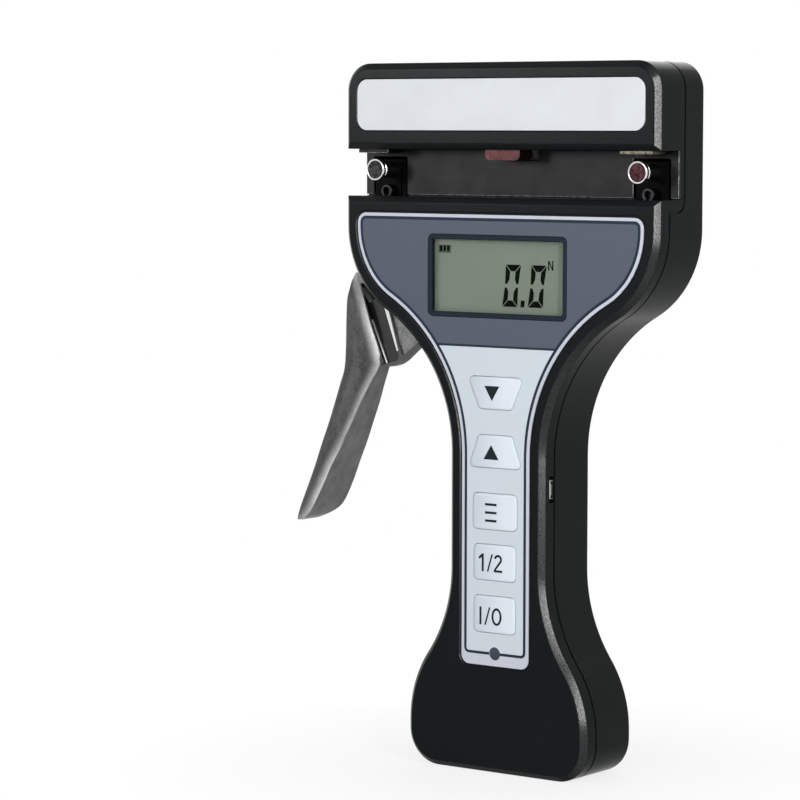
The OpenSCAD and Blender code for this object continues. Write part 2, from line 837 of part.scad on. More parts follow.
module riser_screws() {
    color([0.7, 0.7, 0.7]) for (x = [-riser_screw_x, riser_screw_x]) {
        bar_z(x, riser_screw_y, m3_r, cell_z - riser_screw_deep, cell_z + cell_h);
        bar_z(x, riser_screw_y, m3_head_r, cell_z + cell_h, cell_z + cell_h + m3_head_h);
    }
}

// Steel pad over a post, which stops the cable from lifting
module pad() {
    color([0.6, 0.58, 0.56])
        box([post_x - 7.3, post_x + 7.3], [post_front_y - 1, riser_back_y],
            [head_z - 1.5, head_z]);
}
module left_pad() { mirror([1, 0, 0]) pad(); }
module right_pad() { pad(); }

// Bar with two uprights that carries the brackets, and a lug for the rocker
module post_carriage() {
    half = bracket_w / 2;
    color([0.5, 0.52, 0.55]) difference() {
        union() {
            box([-post_x + half + side_gap, post_x - half - side_gap],
                [bar_front_y, upright_back_y], [bar_bottom, bar_top]);
            box([-post_x - half, post_x + half], [bracket_back_y, upright_back_y],
                [bar_bottom, bar_top]);
            both_sides() box([post_x - half + 0.5, post_x + half - 0.5],
                [bracket_back_y, upright_back_y], [bar_top - past, bracket_top - 1]);
            box([-5, 7], [-arm_t / 2, arm_t / 2], [mech_z - 6, bar_bottom + past]);
        }
        both_sides() {
            bar_z(rod_x, 0, bush_r, bar_bottom - past, bar_top + past);
            bar_y(post_x, body_h + post_z, spigot_r, bracket_back_y - past,
                upright_back_y + past);
            for (z = [clamp_z, lower_clamp_z])
                bar_y(post_x, z, m3_r, bracket_back_y - past, upright_back_y + past);
        }
        link_slot(-1.6, 0.6);
    }
}

// Slot across the thickness of arm or lug for a rocker pin, from x0 to x1
module link_slot(x0, x1) {
    r = link_pin_r + slot_slack;
    bar_y(x0, mech_z, r, -arm_t, arm_t);
    bar_y(x1, mech_z, r, -arm_t, arm_t);
    box([x0, x1], [-arm_t, arm_t], [mech_z - r, mech_z + r]);
}

module bush() {
    color([0.8, 0.65, 0.35]) difference() {
        bar_z(rod_x, 0, bush_r, bar_bottom, bar_top);
        bar_z(rod_x, 0, rod_r + running, bar_bottom - past, bar_top + past);
    }
}
module left_bush() { mirror([1, 0, 0]) bush(); }
module right_bush() { bush(); }

module guide_rod() {
    color([0.8, 0.8, 0.82]) bar_z(rod_x, 0, rod_r, lower_lug_z, upper_lug_z + lug_t);
}
module left_guide_rod() { mirror([1, 0, 0]) guide_rod(); }
module right_guide_rod() { guide_rod(); }

// Return spring between the lower lug and the carriage
module return_spring() {
    z0 = lower_lug_z + lug_t;
    color([0.7, 0.72, 0.75]) translate([rod_x, 0, z0])
        coil(coil_r, wire_r, bar_bottom - z0, coil_turns);
}
module left_spring() { mirror([1, 0, 0]) return_spring(); }
module right_spring() { return_spring(); }

module bracket() {
    half = bracket_w / 2;
    color([0.09, 0.09, 0.1]) difference() {
        box([post_x - half, post_x + half], [plate_y, bracket_back_y],
            [bar_bottom, bracket_top]);
        bar_y(post_x, body_h + post_z, spigot_r, plate_y - past, bracket_back_y + past);
        for (z = [clamp_z, lower_clamp_z])
            bar_y(post_x, z, m3_r, plate_y - past, bracket_back_y + past);
        box([post_x - half - past, post_x - half + bracket_step_w],
            [plate_y - past, plate_y + bracket_step_t],
            [bar_bottom - past, bracket_top - bracket_step_h]);
    }
}
module left_bracket() { mirror([1, 0, 0]) bracket(); }
module right_bracket() { bracket(); }

// Post with a chamfered flange at its free end and a spigot in the bracket
module post() {
    r = flange_d / 2;
    cham = 0.7;
    color([0.8, 0.8, 0.82]) translate([post_x, post_front_y, body_h + post_z])
        rotate([-90, 0, 0]) rotate_extrude() polygon([
            [0, 0], [r - cham, 0], [r, cham], [r, flange_t - cham], [post_d / 2, flange_t],
            [post_d / 2, plate_y - post_front_y], [spigot_r, plate_y - post_front_y],
            [spigot_r, upright_back_y - post_front_y], [0, upright_back_y - post_front_y]]);
}
module left_post() { mirror([1, 0, 0]) post(); }
module right_post() { post(); }

// Socket cap screw that holds a bracket to its upright
module cap_screw(z) {
    color([0.35, 0.35, 0.37]) difference() {
        union() {
            bar_y(post_x, z, m3_head_r, plate_y - m3_head_h, plate_y);
            bar_y(post_x, z, m3_r, plate_y, upright_back_y);
        }
        translate([post_x, plate_y - m3_head_h + hex_depth, z]) rotate([90, 0, 0])
            cylinder(r = hex_r, h = hex_depth + past, $fn = 6);
    }
}
module left_post_screw() { mirror([1, 0, 0]) cap_screw(clamp_z); }
module right_post_screw() { cap_screw(clamp_z); }

// The lower bracket screws have low heads, because the board is close
module carriage_screws() {
    color([0.35, 0.35, 0.37]) both_sides() {
        bar_y(post_x, lower_clamp_z, m3_head_r, plate_y - 1.8, plate_y);
        bar_y(post_x, lower_clamp_z, m3_r, plate_y, upright_back_y);
    }
}

// Sections of the lever from its lower tip up, all measured from the pivot:
// height, inner face, outer face, half width of the flat, half width overall
lever_sections = [
    [-98, -56, -60.6, 5.4, 6.2], [-95, -50, -60, 8.4, 8.8], [-91, -45.9, -58.4, 9.5, 9.7],
    [-82, -41.3, -54.7, 9.2, 9.6], [-73.5, -37.2, -51.2, 8.5, 9.5],
    [-65, -33, -47.7, 7.7, 9.5], [-57, -29.1, -44.3, 6.9, 9.4], [-48, -25, -41, 6.3, 9.3],
    [-40, -20.4, -38.2, 5.8, 9.2], [-36, -17, -37, 5.8, 9.1], [-31.6, -14.5, -35.9, 5.8, 9],
    [-23.4, -18.3, -34.8, 5.8, 8.6], [-15.2, -21.7, -34.4, 5.4, 8], [-7, -25.2, -33.9, 4.8, 7],
    [-3, -27.2, -33.4, 4.2, 6], [1, -29.3, -32.5, 3, 4.4], [3.6, -30.6, -31.6, 1.2, 1.8]
];

// One lever section: an ellipse cut flat on the side that faces the grip
section_steps = 20;
function lever_section(s) =
    let (a0 = asin(s[3] / s[4]), rx = (s[1] - s[2]) / (1 + cos(a0)), cx = s[1] - rx * cos(a0))
    [for (i = [0:section_steps]) let (a = a0 + (360 - 2 * a0) * i / section_steps)
        [cx + rx * cos(a), s[4] * sin(a), s[0]]];

module lever_body() {
    rows = [for (s = lever_sections) lever_section(s)];
    n = section_steps + 1;
    last = len(rows) - 1;
    translate([-pivot_x, 0, mech_z]) polyhedron(
        points = [for (row = rows) for (p = row) p],
        faces = concat(
            [[for (i = [0:n - 1]) i]],
            [[for (i = [n - 1:-1:0]) last * n + i]],
            [for (k = [0:last - 1]) for (i = [0:n - 1]) let (j = (i + 1) % n)
                each [[k * n + i, (k + 1) * n + i, (k + 1) * n + j],
                      [k * n + i, (k + 1) * n + j, k * n + j]]]));
}

// Web between the lever and the hub, as offsets from the pivot
arm_outline = [
    [-19.5, -12], [-17.5, -31.2], [-8, -30], [1, -23.4], [5.5, -6], [4, 5], [-4, 6.6], [-12, 1.5]
];
module trigger_lever() {
    half = arm_t / 2;
    tip_x = drive_x + 0.5;
    tip_r = 5.5;
    color([0.62, 0.63, 0.64]) difference() {
        union() {
            lever_body();
            slab([for (p = arm_outline) [p[0] - pivot_x, p[1] + mech_z]], -half, half);
            bar_y(-pivot_x, mech_z, hub_r, -hub_half, hub_half);
            box([-pivot_x, tip_x], [-half, half], [mech_z - tip_r, mech_z + tip_r]);
            bar_y(tip_x, mech_z, tip_r, -half, half);
        }
        bar_y(-pivot_x, mech_z, pin_r + bush_wall, -hub_half - past, hub_half + past);
        link_slot(drive_x - 1, drive_x + 1.4);
    }
}

module trigger_bush() {
    color([0.8, 0.65, 0.35]) difference() {
        bar_y(-pivot_x, mech_z, pin_r + bush_wall, -hub_half, hub_half);
        bar_y(-pivot_x, mech_z, pin_r + running, -hub_half - past, hub_half + past);
    }
}

// Torsion spring on the trigger pin, and the clip in front of it
torsion_len = 2.1;
torsion_wire_r = 0.35;
torsion_turns = 1.5;
torsion_gap = 0.2;
pin_end = 0.1;
spring_front_y = -hub_half - torsion_len - 2 * torsion_gap;
module trigger_pin() {
    color([0.8, 0.8, 0.82])
        bar_y(-pivot_x, mech_z, pin_r, spring_front_y - clip_t - pin_end, frame_back_y);
}

module trigger_pin_clip() {
    color([0.5, 0.5, 0.52]) difference() {
        bar_y(-pivot_x, mech_z, clip_r, spring_front_y - clip_t, spring_front_y);
        bar_y(-pivot_x, mech_z, pin_r, spring_front_y - clip_t - past, spring_front_y + past);
    }
}

// Wound spring between the clip and the hub, which swings the lever out
module trigger_spring() {
    color([0.7, 0.72, 0.75]) translate([-pivot_x, -hub_half - torsion_gap, mech_z])
        rotate([90, 0, 0])
        coil(pin_r + 1.2, torsion_wire_r, torsion_len, torsion_turns);
}

// Two links, joined by a hub and two pins
module rocker() {
    color([0.66, 0.68, 0.7]) difference() {
        union() {
            both_faces() {
                box([drive_x, 0], [link_y, link_back_y], [mech_z - link_r, mech_z + link_r]);
                for (x = [drive_x, 0]) bar_y(x, mech_z, link_r, link_y, link_back_y);
                bar_y(-rocker_x, mech_z, rocker_hub_r + 1.4, link_y, link_back_y);
            }
            bar_y(-rocker_x, mech_z, rocker_hub_r, -link_y, link_y);
            for (x = [drive_x, 0]) bar_y(x, mech_z, link_pin_r, -link_y, link_y);
        }
        bar_y(-rocker_x, mech_z, pin_r + running, -link_back_y - past, link_back_y + past);
    }
}

// Repeats a piece on the other side of the middle plane
module both_faces() {
    children();
    mirror([0, 1, 0]) children();
}

module rocker_pin() {
    color([0.8, 0.8, 0.82])
        bar_y(-rocker_x, mech_z, pin_r, -link_back_y - clip_t - 0.7, frame_back_y);
}

module rocker_pin_clip() {
    color([0.5, 0.5, 0.52]) difference() {
        bar_y(-rocker_x, mech_z, clip_r, -link_back_y - clip_t - 0.2, -link_back_y - 0.2);
        bar_y(-rocker_x, mech_z, pin_r, -link_back_y - clip_t - past, -link_back_y + past);
    }
}

// Screws put in from the back, with sunk heads
module case_screws() {
    color([0.3, 0.3, 0.32]) both_sides() for (p = case_screws_at) difference() {
        union() {
            bar_y(p[0], p[1], m3_r, inner_front_y + 2, back_y - case_head_h);
            bar_y(p[0], p[1], case_head_r, back_y - case_head_h, back_y - 0.3);
        }
        translate([p[0], back_y + past, p[1]]) rotate([90, 0, 0])
            cylinder(r = 1.2, h = past + 1.5, $fn = 6);
    }
}

front_cover();
rear_casing();
head_plate();
overlay_label();
lcd_bezel();
lcd_window();
lcd_glass();
lcd_holder();
main_board();
board_screws();
key_switches();
key_down();
key_up();
key_mode();
key_unit();
key_power();
usb_port();
indicator_lens();
indicator_lamp();
power_cell();
cell_cradle();
wear_plate();
load_frame();
frame_screws();
load_cell();
cell_spacer();
cell_screws();
strain_gauges();
riser();
riser_screws();
left_pad();
right_pad();
post_carriage();
left_bush();
right_bush();
left_guide_rod();
right_guide_rod();
left_spring();
right_spring();
left_bracket();
right_bracket();
left_post();
right_post();
left_post_screw();
right_post_screw();
carriage_screws();
trigger_lever();
trigger_bush();
trigger_pin();
trigger_pin_clip();
trigger_spring();
rocker();
rocker_pin();
rocker_pin_clip();
case_screws();
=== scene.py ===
# %% [markdown]
# # A digital cable tension gauge, dressed around its working model
#
# The working model comes first: it fixes where every piece lies and what turns or slides.
# This script then gives each visible piece a finer mesh with rounded edges, and every piece
# a finish made of noise and grain, some of them with painted highlights and painted shade.
# The gauge's sizes are in millimetres, as a maker would write them, and are turned into
# Blender's metres only where a mesh is made. The floor and the lamps are given in metres.

# %% Load the working model
import json
import math
from collections import namedtuple

import bmesh
import bpy
from mathutils import Matrix, Vector


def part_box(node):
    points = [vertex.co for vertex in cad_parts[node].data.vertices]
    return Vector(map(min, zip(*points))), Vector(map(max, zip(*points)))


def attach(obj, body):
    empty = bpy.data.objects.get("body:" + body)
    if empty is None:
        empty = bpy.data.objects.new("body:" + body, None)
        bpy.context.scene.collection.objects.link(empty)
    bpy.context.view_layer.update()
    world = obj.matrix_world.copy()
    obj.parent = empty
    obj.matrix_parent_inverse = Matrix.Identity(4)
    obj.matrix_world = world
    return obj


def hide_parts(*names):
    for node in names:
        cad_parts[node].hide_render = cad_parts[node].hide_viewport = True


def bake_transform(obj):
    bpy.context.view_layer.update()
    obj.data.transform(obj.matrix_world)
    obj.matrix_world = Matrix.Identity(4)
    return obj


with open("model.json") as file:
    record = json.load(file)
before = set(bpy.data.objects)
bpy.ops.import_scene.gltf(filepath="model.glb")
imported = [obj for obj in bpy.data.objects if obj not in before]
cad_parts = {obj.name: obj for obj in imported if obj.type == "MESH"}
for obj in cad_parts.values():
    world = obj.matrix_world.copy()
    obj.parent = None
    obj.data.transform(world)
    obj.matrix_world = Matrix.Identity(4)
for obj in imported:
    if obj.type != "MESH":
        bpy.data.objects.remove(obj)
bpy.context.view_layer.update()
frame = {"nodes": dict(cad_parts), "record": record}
MM = 0.001

# %% [markdown]
# ## The camera
#
# The picture looks down on the front from the right. A camera is a matrix: three columns say
# where its right, its up and its back point, and the fourth where it stands. Writing the
# matrix from two angles is surer than aiming by hand, because the angles can be corrected
# one at a time.

# %% Place the camera
CAMERA_TURN = math.radians(36.698)
CAMERA_DROP = math.radians(4.747)
CAMERA_ROLL = math.radians(0.089)
CAMERA_DISTANCE = 1309.565
LOOK_AT = Vector((-46.318, -16.5, 145.125))
SENSOR_W = 36
PICTURE_W = 800
FOCAL_PIXELS = 3291.565


def camera_matrix():
    back = Vector((
        math.sin(CAMERA_TURN) * math.cos(CAMERA_DROP),
        -math.cos(CAMERA_TURN) * math.cos(CAMERA_DROP),
        math.sin(CAMERA_DROP),
    ))
    level = Vector((math.cos(CAMERA_TURN), math.sin(CAMERA_TURN), 0))
    rise = back.cross(level)
    right = math.cos(CAMERA_ROLL) * level + math.sin(CAMERA_ROLL) * rise
    up = math.cos(CAMERA_ROLL) * rise - math.sin(CAMERA_ROLL) * level
    place = (LOOK_AT + CAMERA_DISTANCE * back) * MM
    return Matrix((right, up, back)).transposed().to_4x4(), place


camera_data = bpy.data.cameras.new("camera")
camera_data.sensor_width = SENSOR_W
camera_data.lens = FOCAL_PIXELS * SENSOR_W / PICTURE_W
camera_data.clip_end = 20
camera = bpy.data.objects.new("camera", camera_data)
turn, place = camera_matrix()
camera.matrix_world = Matrix.Translation(place) @ turn
bpy.context.scene.collection.objects.link(camera)
bpy.context.scene.camera = camera
print("lens", round(camera_data.lens, 2), "mm, camera at", [round(v, 3) for v in place])

# %% [markdown]
# ## Writing finishes as formulas
#
# A finish is a tree of nodes. Joining nodes one by one is long and hard to read, so a small
# class wraps a socket, and plus, minus, times and abs() on sockets add the Math nodes. A Math
# node would turn a colour grey, so colours are blended by a Mix node. Everything else goes
# through one method that takes the node's type, its settings and what goes into its sockets.


# %% A socket that can be calculated with
class Wire:
    """The output of a node, used like a number in a formula."""

    def __init__(self, finish, socket):
        self.finish = finish
        self.socket = socket

    def math(self, operation, first, second):
        return self.finish.node("Math", {"operation": operation}, {0: first, 1: second})

    def __add__(self, other):
        return self.math("ADD", self, other)

    def __sub__(self, other):
        return self.math("SUBTRACT", self, other)

    def __rsub__(self, other):
        return self.math("SUBTRACT", other, self)

    def __mul__(self, other):
        return self.math("MULTIPLY", self, other)

    def __abs__(self):
        return self.math("ABSOLUTE", self, 0.0)

    __radd__ = __add__
    __rmul__ = __mul__


# %% A finish and its nodes
class Finish:
    """A material or the world while its nodes are being written."""

    def __init__(self, owner):
        owner.use_nodes = True
        self.owner = owner
        self.nodes = owner.node_tree.nodes
        self.links = owner.node_tree.links
        self.nodes.clear()

    def node(self, kind, settings=None, values=None, output=None):
        made = self.nodes.new("ShaderNode" + kind)
        for key, value in (settings or {}).items():
            if key == "stops":
                for i, (place, colour) in enumerate(value):
                    ramp = made.color_ramp.elements
                    stop = ramp[i] if i < len(ramp) else ramp.new(place)
                    stop.position = place
                    stop.color = (*colour, 1)
            else:
                setattr(made, key, value)
        for key, value in (values or {}).items():
            if isinstance(value, Wire):
                self.links.new(value.socket, made.inputs[key])
            else:
                made.inputs[key].default_value = value
        if output:
            return Wire(self, made.outputs[output])
        shown = [o for o in made.outputs if o.enabled]
        return Wire(self, shown[0]) if shown else None

    def place(self, stretch=(1, 1, 1)):
        """Position on the object, stretched along its axes."""
        spot = self.node("TexCoord", output="Object")
        return self.node("Mapping", {}, {"Vector": spot, "Scale": stretch})

    def noise(self, size, detail=2, stretch=(1, 1, 1), roughness=0.5):
        """Noise from 0 to 1 whose spots are about size millimetres wide."""
        return self.node("TexNoise", {}, {
            "Vector": self.place(stretch), "Scale": 1 / (size * MM), "Detail": detail,
            "Roughness": roughness}, "Fac")

    def facing(self, axis):
        """How far the surface faces along an axis of its own object."""
        normal = self.node("TexCoord", output="Normal")
        return self.node("SeparateXYZ", {}, {0: normal}, axis)

    def along(self, axis):
        """Where a point lies along an axis of its own object, in metres."""
        return self.node("SeparateXYZ", {}, {0: self.place()}, axis)

    def spread(self, wire, low, high):
        """Stretches the part of a value between low and high to 0 to 1."""
        return self.node("MapRange", {}, {
            "Value": wire, "From Min": low, "From Max": high})

    def mix(self, share, first, second):
        """Goes from the first colour to the second as share goes from 0 to 1."""
        values = {0: share}
        for socket, colour in ((6, first), (7, second)):
            values[socket] = colour if isinstance(colour, Wire) else (*colour, 1)
        return self.node("Mix", {"data_type": "RGBA"}, values)

    def bump(self, height, depth):
        """Turns a height from 0 to 1 into dents of depth millimetres."""
        return self.node("Bump", {}, {"Height": height, "Distance": depth * MM})

    def surface(self, values):
        """Ends a material with one shader that has these values."""
        return self.end(self.node("BsdfPrincipled", {}, values))

    def end(self, shader, kind="OutputMaterial"):
        self.node(kind, {}, {"Surface": shader})
        print("made the finish", self.owner.name)
        return self.owner


def new_finish(name):
    return Finish(bpy.data.materials.new(name))


def grey(value):
    """A colour from one number."""
    return (value,) * 3


def screen(*levels):
    """A colour as a screen shows it, from 0 to 255, turned into light. One level is a grey."""
    shares = [v / 255 for v in (levels * 3 if len(levels) == 1 else levels)]
    return tuple(v / 12.92 if v <= 0.04045 else ((v + 0.055) / 1.055) ** 2.4
                 for v in shares)


# %% [markdown]
# ## Finishes of the case
#
# The case is moulded in black plastic with a fine spark texture: tiny even bumps that
# scatter a highlight into grain. Noise of a third of a millimetre as a bump gives the
# texture, and a second, much wider noise keeps the black from being one flat value.
# A thin grainy coat on the long right-hand edges is a painted sheen, a highlight put where
# the light falls, and the direction in which the surface faces says where: only where it
# faces both to the right and to the front or the back.

# %% Black moulding
def moulded_black(name, dark, light, gloss):
    make = new_finish(name)
    grain = make.noise(0.35, 3)
    patch = make.noise(28, 2)
    rub = make.noise(3, 4)
    sparkle = make.noise(0.55, 2, roughness=0.7)
    # painted sheen: this mask picks the edges that face right, where the light falls
    edges = make.spread(make.facing("X") * abs(make.facing("Y")), 0.2, 0.45)
    colour = make.mix(patch, dark, light)
    return make.surface({
        "Base Color": make.mix(make.spread(grain, 0.62, 0.72) * 0.3, colour, grey(0.02)),
        "Roughness": gloss + rub * 0.06 + grain * 0.04,
        "Specular IOR Level": 0.04,
        "Coat Weight": edges * make.spread(sparkle, 0.14, 0.72),
        "Coat Roughness": 0.22,
        "Normal": make.bump(grain, 0.012),
    })


CASE_BLACK = moulded_black("case_black", screen(17, 20, 21), screen(22, 25, 26), 0.16)

# %% [markdown]
# ## Printed films
#
# The label and the keys are printed on the back of a clear film with a very fine matte face.
# The print is even, so the film's own slight waves and its grain carry the look.

# %% Printed film
def printed_film(name, colour, shift, wave=0.02, shine=0.2):
    make = new_finish(name)
    patch = make.noise(18, 2)
    fine = make.noise(0.22, 2)
    tinted = tuple(c * s for c, s in zip(colour, shift))
    return make.surface({
        "Base Color": make.mix(patch * 0.5 + fine * 0.3, colour, tinted),
        "Roughness": 0.38 + fine * 0.12,
        "Specular IOR Level": shine,
        "Normal": make.bump(fine * 0.4 + patch, wave),
    })


FILM_SLATE = printed_film("film_slate", screen(72, 81, 92), (0.93, 0.97, 1.04))
FILM_PALE = printed_film("film_pale", screen(195, 203, 209), (0.95, 0.97, 1.0))
FILM_WHITE = printed_film("film_white", screen(188, 192, 202), (0.96, 0.97, 1.0))
FILM_LINE = printed_film("film_line", screen(34, 44, 56), (0.9, 0.95, 1.05), shine=0.08)
INK = printed_film("ink", screen(28, 36, 38), (0.8, 0.9, 1.0), 0.005, 0.05)

# %% [markdown]
# The keys are domed by hand and heat. Their print is painted a little lighter on the right,
# where the light falls on the domes. How far right a point lies on its key gives the share.


# %% Key film
def key_film():
    make = new_finish("film_key_painted_light")
    fine = make.noise(0.22, 2)
    # painted light: the print grows lighter towards the right of each key
    share = make.spread(make.along("X"), -10.5 * MM, 6 * MM) + fine * 0.08
    return make.surface({
        "Base Color": make.mix(share, screen(186, 195, 204), screen(210, 218, 226)),
        "Roughness": 0.38 + fine * 0.12,
        "Specular IOR Level": 0.2,
        "Normal": make.bump(fine, 0.01),
    })


FILM_KEY_PAINTED_LIGHT = key_film()

# %% [markdown]
# ## Display finishes
#
# A liquid crystal display is a grey green mirror behind a matte filter, and its marks are
# nearly black. A clear window lies over it: it adds only a faint reflection.

# %% Display
def display_ground():
    make = new_finish("display_ground")
    patch = make.noise(14, 2)
    fine = make.noise(0.15, 1)
    return make.surface({
        "Base Color": make.mix(patch * 0.6 + fine * 0.2, screen(109, 120, 107),
                               screen(115, 126, 112)),
        "Roughness": 0.45 + fine * 0.1,
        "Specular IOR Level": 0.2,
    })


def window_clear():
    make = new_finish("window_clear")
    smear = make.noise(9, 3)
    return make.surface({
        "Base Color": make.mix(smear, grey(0.02), grey(0.05)),
        "Roughness": 0.06 + smear * 0.05,
        "Alpha": 0.008 + smear * 0.01,
        "Specular IOR Level": 0.1,
    })


DISPLAY_GROUND = display_ground()
WINDOW_CLEAR = window_clear()
SEGMENT_INK = printed_film("segment_ink", screen(3, 6, 3), (1.2, 1.2, 1.1), 0.002, 0.02)
FRAME_NAVY = printed_film("frame_navy", screen(27, 36, 45), (0.85, 0.95, 1.0), 0.01, 0.06)

# %% [markdown]
# ## Metals
#
# A metal shows what stands round it, tinted with its own colour. What tells one metal from
# another is how its surface was made: drawn lines on brushed steel, a mottled skin on a
# casting, even fine dents on a blasted plate. One function makes them all from the size,
# stretch and depth of that texture.

# %% Metal
def metal(name, dark, light, gloss, texture=0.4, stretch=(1, 1, 1), depth=0.01,
          metallic=1.0, patch_size=12, soft=0.2):
    make = new_finish(name)
    lines = make.noise(texture, 3, stretch)
    patch = make.noise(patch_size, 4, roughness=0.6)
    share = make.spread(patch * 0.5 + lines * 0.5, 0.5 - soft, 0.5 + soft)
    return make.surface({
        "Base Color": make.mix(share, dark, light),
        "Metallic": metallic,
        "Roughness": gloss + lines * 0.14 - patch * 0.06,
        "Normal": make.bump(lines, depth),
    })


# %% Metals that show
BLASTED_PLATE = metal("blasted_plate", screen(187, 190, 195), screen(193, 197, 201), 0.5,
                      0.12, depth=0.002, metallic=0.3)
WEAR_STEEL = metal("wear_steel", screen(30, 30, 31), screen(43, 43, 44), 0.42, 0.5,
                   (0.03, 1, 1), 0.008)
CHROME = metal("chrome", screen(205, 205, 208), screen(232, 232, 234), 0.12, 0.3,
               depth=0.001)
# painted highlight: a lighter steel for rounded edges that face down or to the right
STEEL_PAINTED_HIGHLIGHT = metal("steel_painted_highlight", screen(58), screen(158, 158, 156), 0.4, 0.8,
                   depth=0.02, metallic=0.6, patch_size=2, soft=0.1)
POST_BROWN = metal("post_brown", screen(24, 12, 14), screen(70, 46, 48), 0.4, 0.8,
                   depth=0.02, patch_size=1, soft=0.1)
POST_GREY = metal("post_grey", screen(18, 20, 20), screen(52), 0.4, 0.8,
                  depth=0.02, patch_size=1, soft=0.1)
PAD_STEEL = metal("pad_steel", screen(26, 24, 21), screen(116, 111, 102), 0.35, 0.9,
                  (0.6, 1, 1), 0.03, patch_size=1.5, soft=0.14)
# painted shade: a darker copy of the pad steel for the left pad, which lies in shadow
PAD_PAINTED_SHADE = metal("pad_painted_shade", screen(16, 17, 17), screen(40), 0.4, 0.8,
                 (0.5, 1, 1), 0.02, patch_size=3)
RISER_BRONZE = metal("riser_bronze", screen(52, 43, 40), screen(88, 50, 53), 0.4, 0.8,
                     depth=0.02, patch_size=3, soft=0.1)
print("metals that show are made")

# %% Metals of the inside and of the screws
GROUND_STEEL = metal("ground_steel", screen(170, 170, 174), screen(205, 205, 208), 0.25, 0.3,
                     (1, 1, 0.05), 0.004)
FRAME_STEEL = metal("frame_steel", screen(130, 132, 135), screen(165, 167, 170), 0.4, 0.4,
                    (0.05, 1, 1), 0.01)
CELL_METAL = metal("cell_metal", screen(176, 178, 182), screen(205, 207, 210), 0.32, 0.4,
                   (0.05, 1, 1), 0.006)
SPRING_STEEL = metal("spring_steel", screen(140, 140, 146), screen(180, 180, 184), 0.28)
BRASS_BUSH = metal("brass_bush", screen(180, 140, 84), screen(212, 172, 110), 0.3)
GAUGE_FOIL = metal("gauge_foil", screen(196, 150, 84), screen(220, 176, 110), 0.35,
                   0.5, (1, 0.1, 1))
SCREW_ZINC = metal("screw_zinc", screen(150, 150, 152), screen(188, 188, 190), 0.3)
SHELL_METAL = metal("shell_metal", screen(136, 142, 136), screen(166, 170, 162), 0.3)
BLACK_OXIDE = metal("black_oxide", screen(26, 26, 27), screen(52, 52, 53), 0.34, 0.3,
                    depth=0.006)
BRACKET_BLACK = metal("bracket_black", screen(7), screen(17, 15, 14), 0.5, 0.4,
                      depth=0.008)

# %% [markdown]
# ## The casting
#
# The trigger is cast, with a darker blotched skin. A painted highlight runs as a bright band
# along the inner edge and fades towards the back, and faces turned to the left get painted
# shade. The flat inner face gets an even grey, a painted tone for how the light falls on it.
# How far a point lies behind the inner edge gives the band: a ramp holds where that edge is
# at each height, from the same sections that give the trigger its shape. All of this is in
# the trigger's own frame, so it turns with the trigger when that is pulled.

# %% Sections of the trigger
Corner = namedtuple("Corner", "x y z")


def limits(node):
    """Lowest and highest corner of a node of the working model, in millimetres."""
    low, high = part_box(node)
    return Corner(*(v / MM for v in low)), Corner(*(v / MM for v in high))


def centre(node):
    """The middle of a node's box, in millimetres."""
    return Corner(*((low + high) / 2 for low, high in zip(*limits(node))))


pivot_x, _, pivot_z = centre("trigger_bush")
# Height, inner edge, outer edge, half the width of the flat face and of the back, all
# measured from the pivot.
LEVER_SECTIONS = [
    (-98, -56.4, -60.6, 5, 6.2), (-95, -51, -60, 8.8, 9), (-91, -47, -58.4, 10.3, 10.4),
    (-82, -42, -54.7, 10.1, 10.2), (-73.5, -38, -51.2, 9.5, 9.8),
    (-65, -33.4, -47.8, 8.3, 9.6), (-57, -29.4, -44.5, 7, 9.4), (-48, -25.2, -41.2, 6, 9.3),
    (-40, -21.4, -38.6, 4.3, 8.8), (-36, -19.3, -37.3, 3.3, 8.4),
    (-31.6, -17.5, -36.7, 2.8, 8.2), (-23.4, -19.3, -36.2, 4.4, 8.2),
    (-15.2, -22, -35.9, 5.2, 8), (-7, -25, -35.6, 4.8, 7),
    (-3, -27.2, -34.9, 3.9, 5.6), (1, -29.6, -33.9, 2.5, 3.7), (4.4, -32.2, -32.8, 0.5, 0.7)]
EDGE_LOW, EDGE_HIGH = LEVER_SECTIONS[0][0], LEVER_SECTIONS[-1][0]
EDGE_SPAN = 60
print("trigger turns about", round(pivot_x, 1), round(pivot_z, 1), "and has",
      len(LEVER_SECTIONS), "sections")


# %% Cast metal
def behind_edge(make):
    """How far a point lies behind the trigger's inner edge, in millimetres."""
    height = make.along("Z") * (1 / MM) - pivot_z
    reach = make.along("X") * (1 / MM) - pivot_x
    stops = [((h - EDGE_LOW) / (EDGE_HIGH - EDGE_LOW), grey(-x / EDGE_SPAN))
             for h, x, *_ in LEVER_SECTIONS]
    edge_x = make.node("ValToRGB", {"stops": stops},
                       {0: make.spread(height, EDGE_LOW, EDGE_HIGH)}, "Color")
    return edge_x * -EDGE_SPAN - reach, height


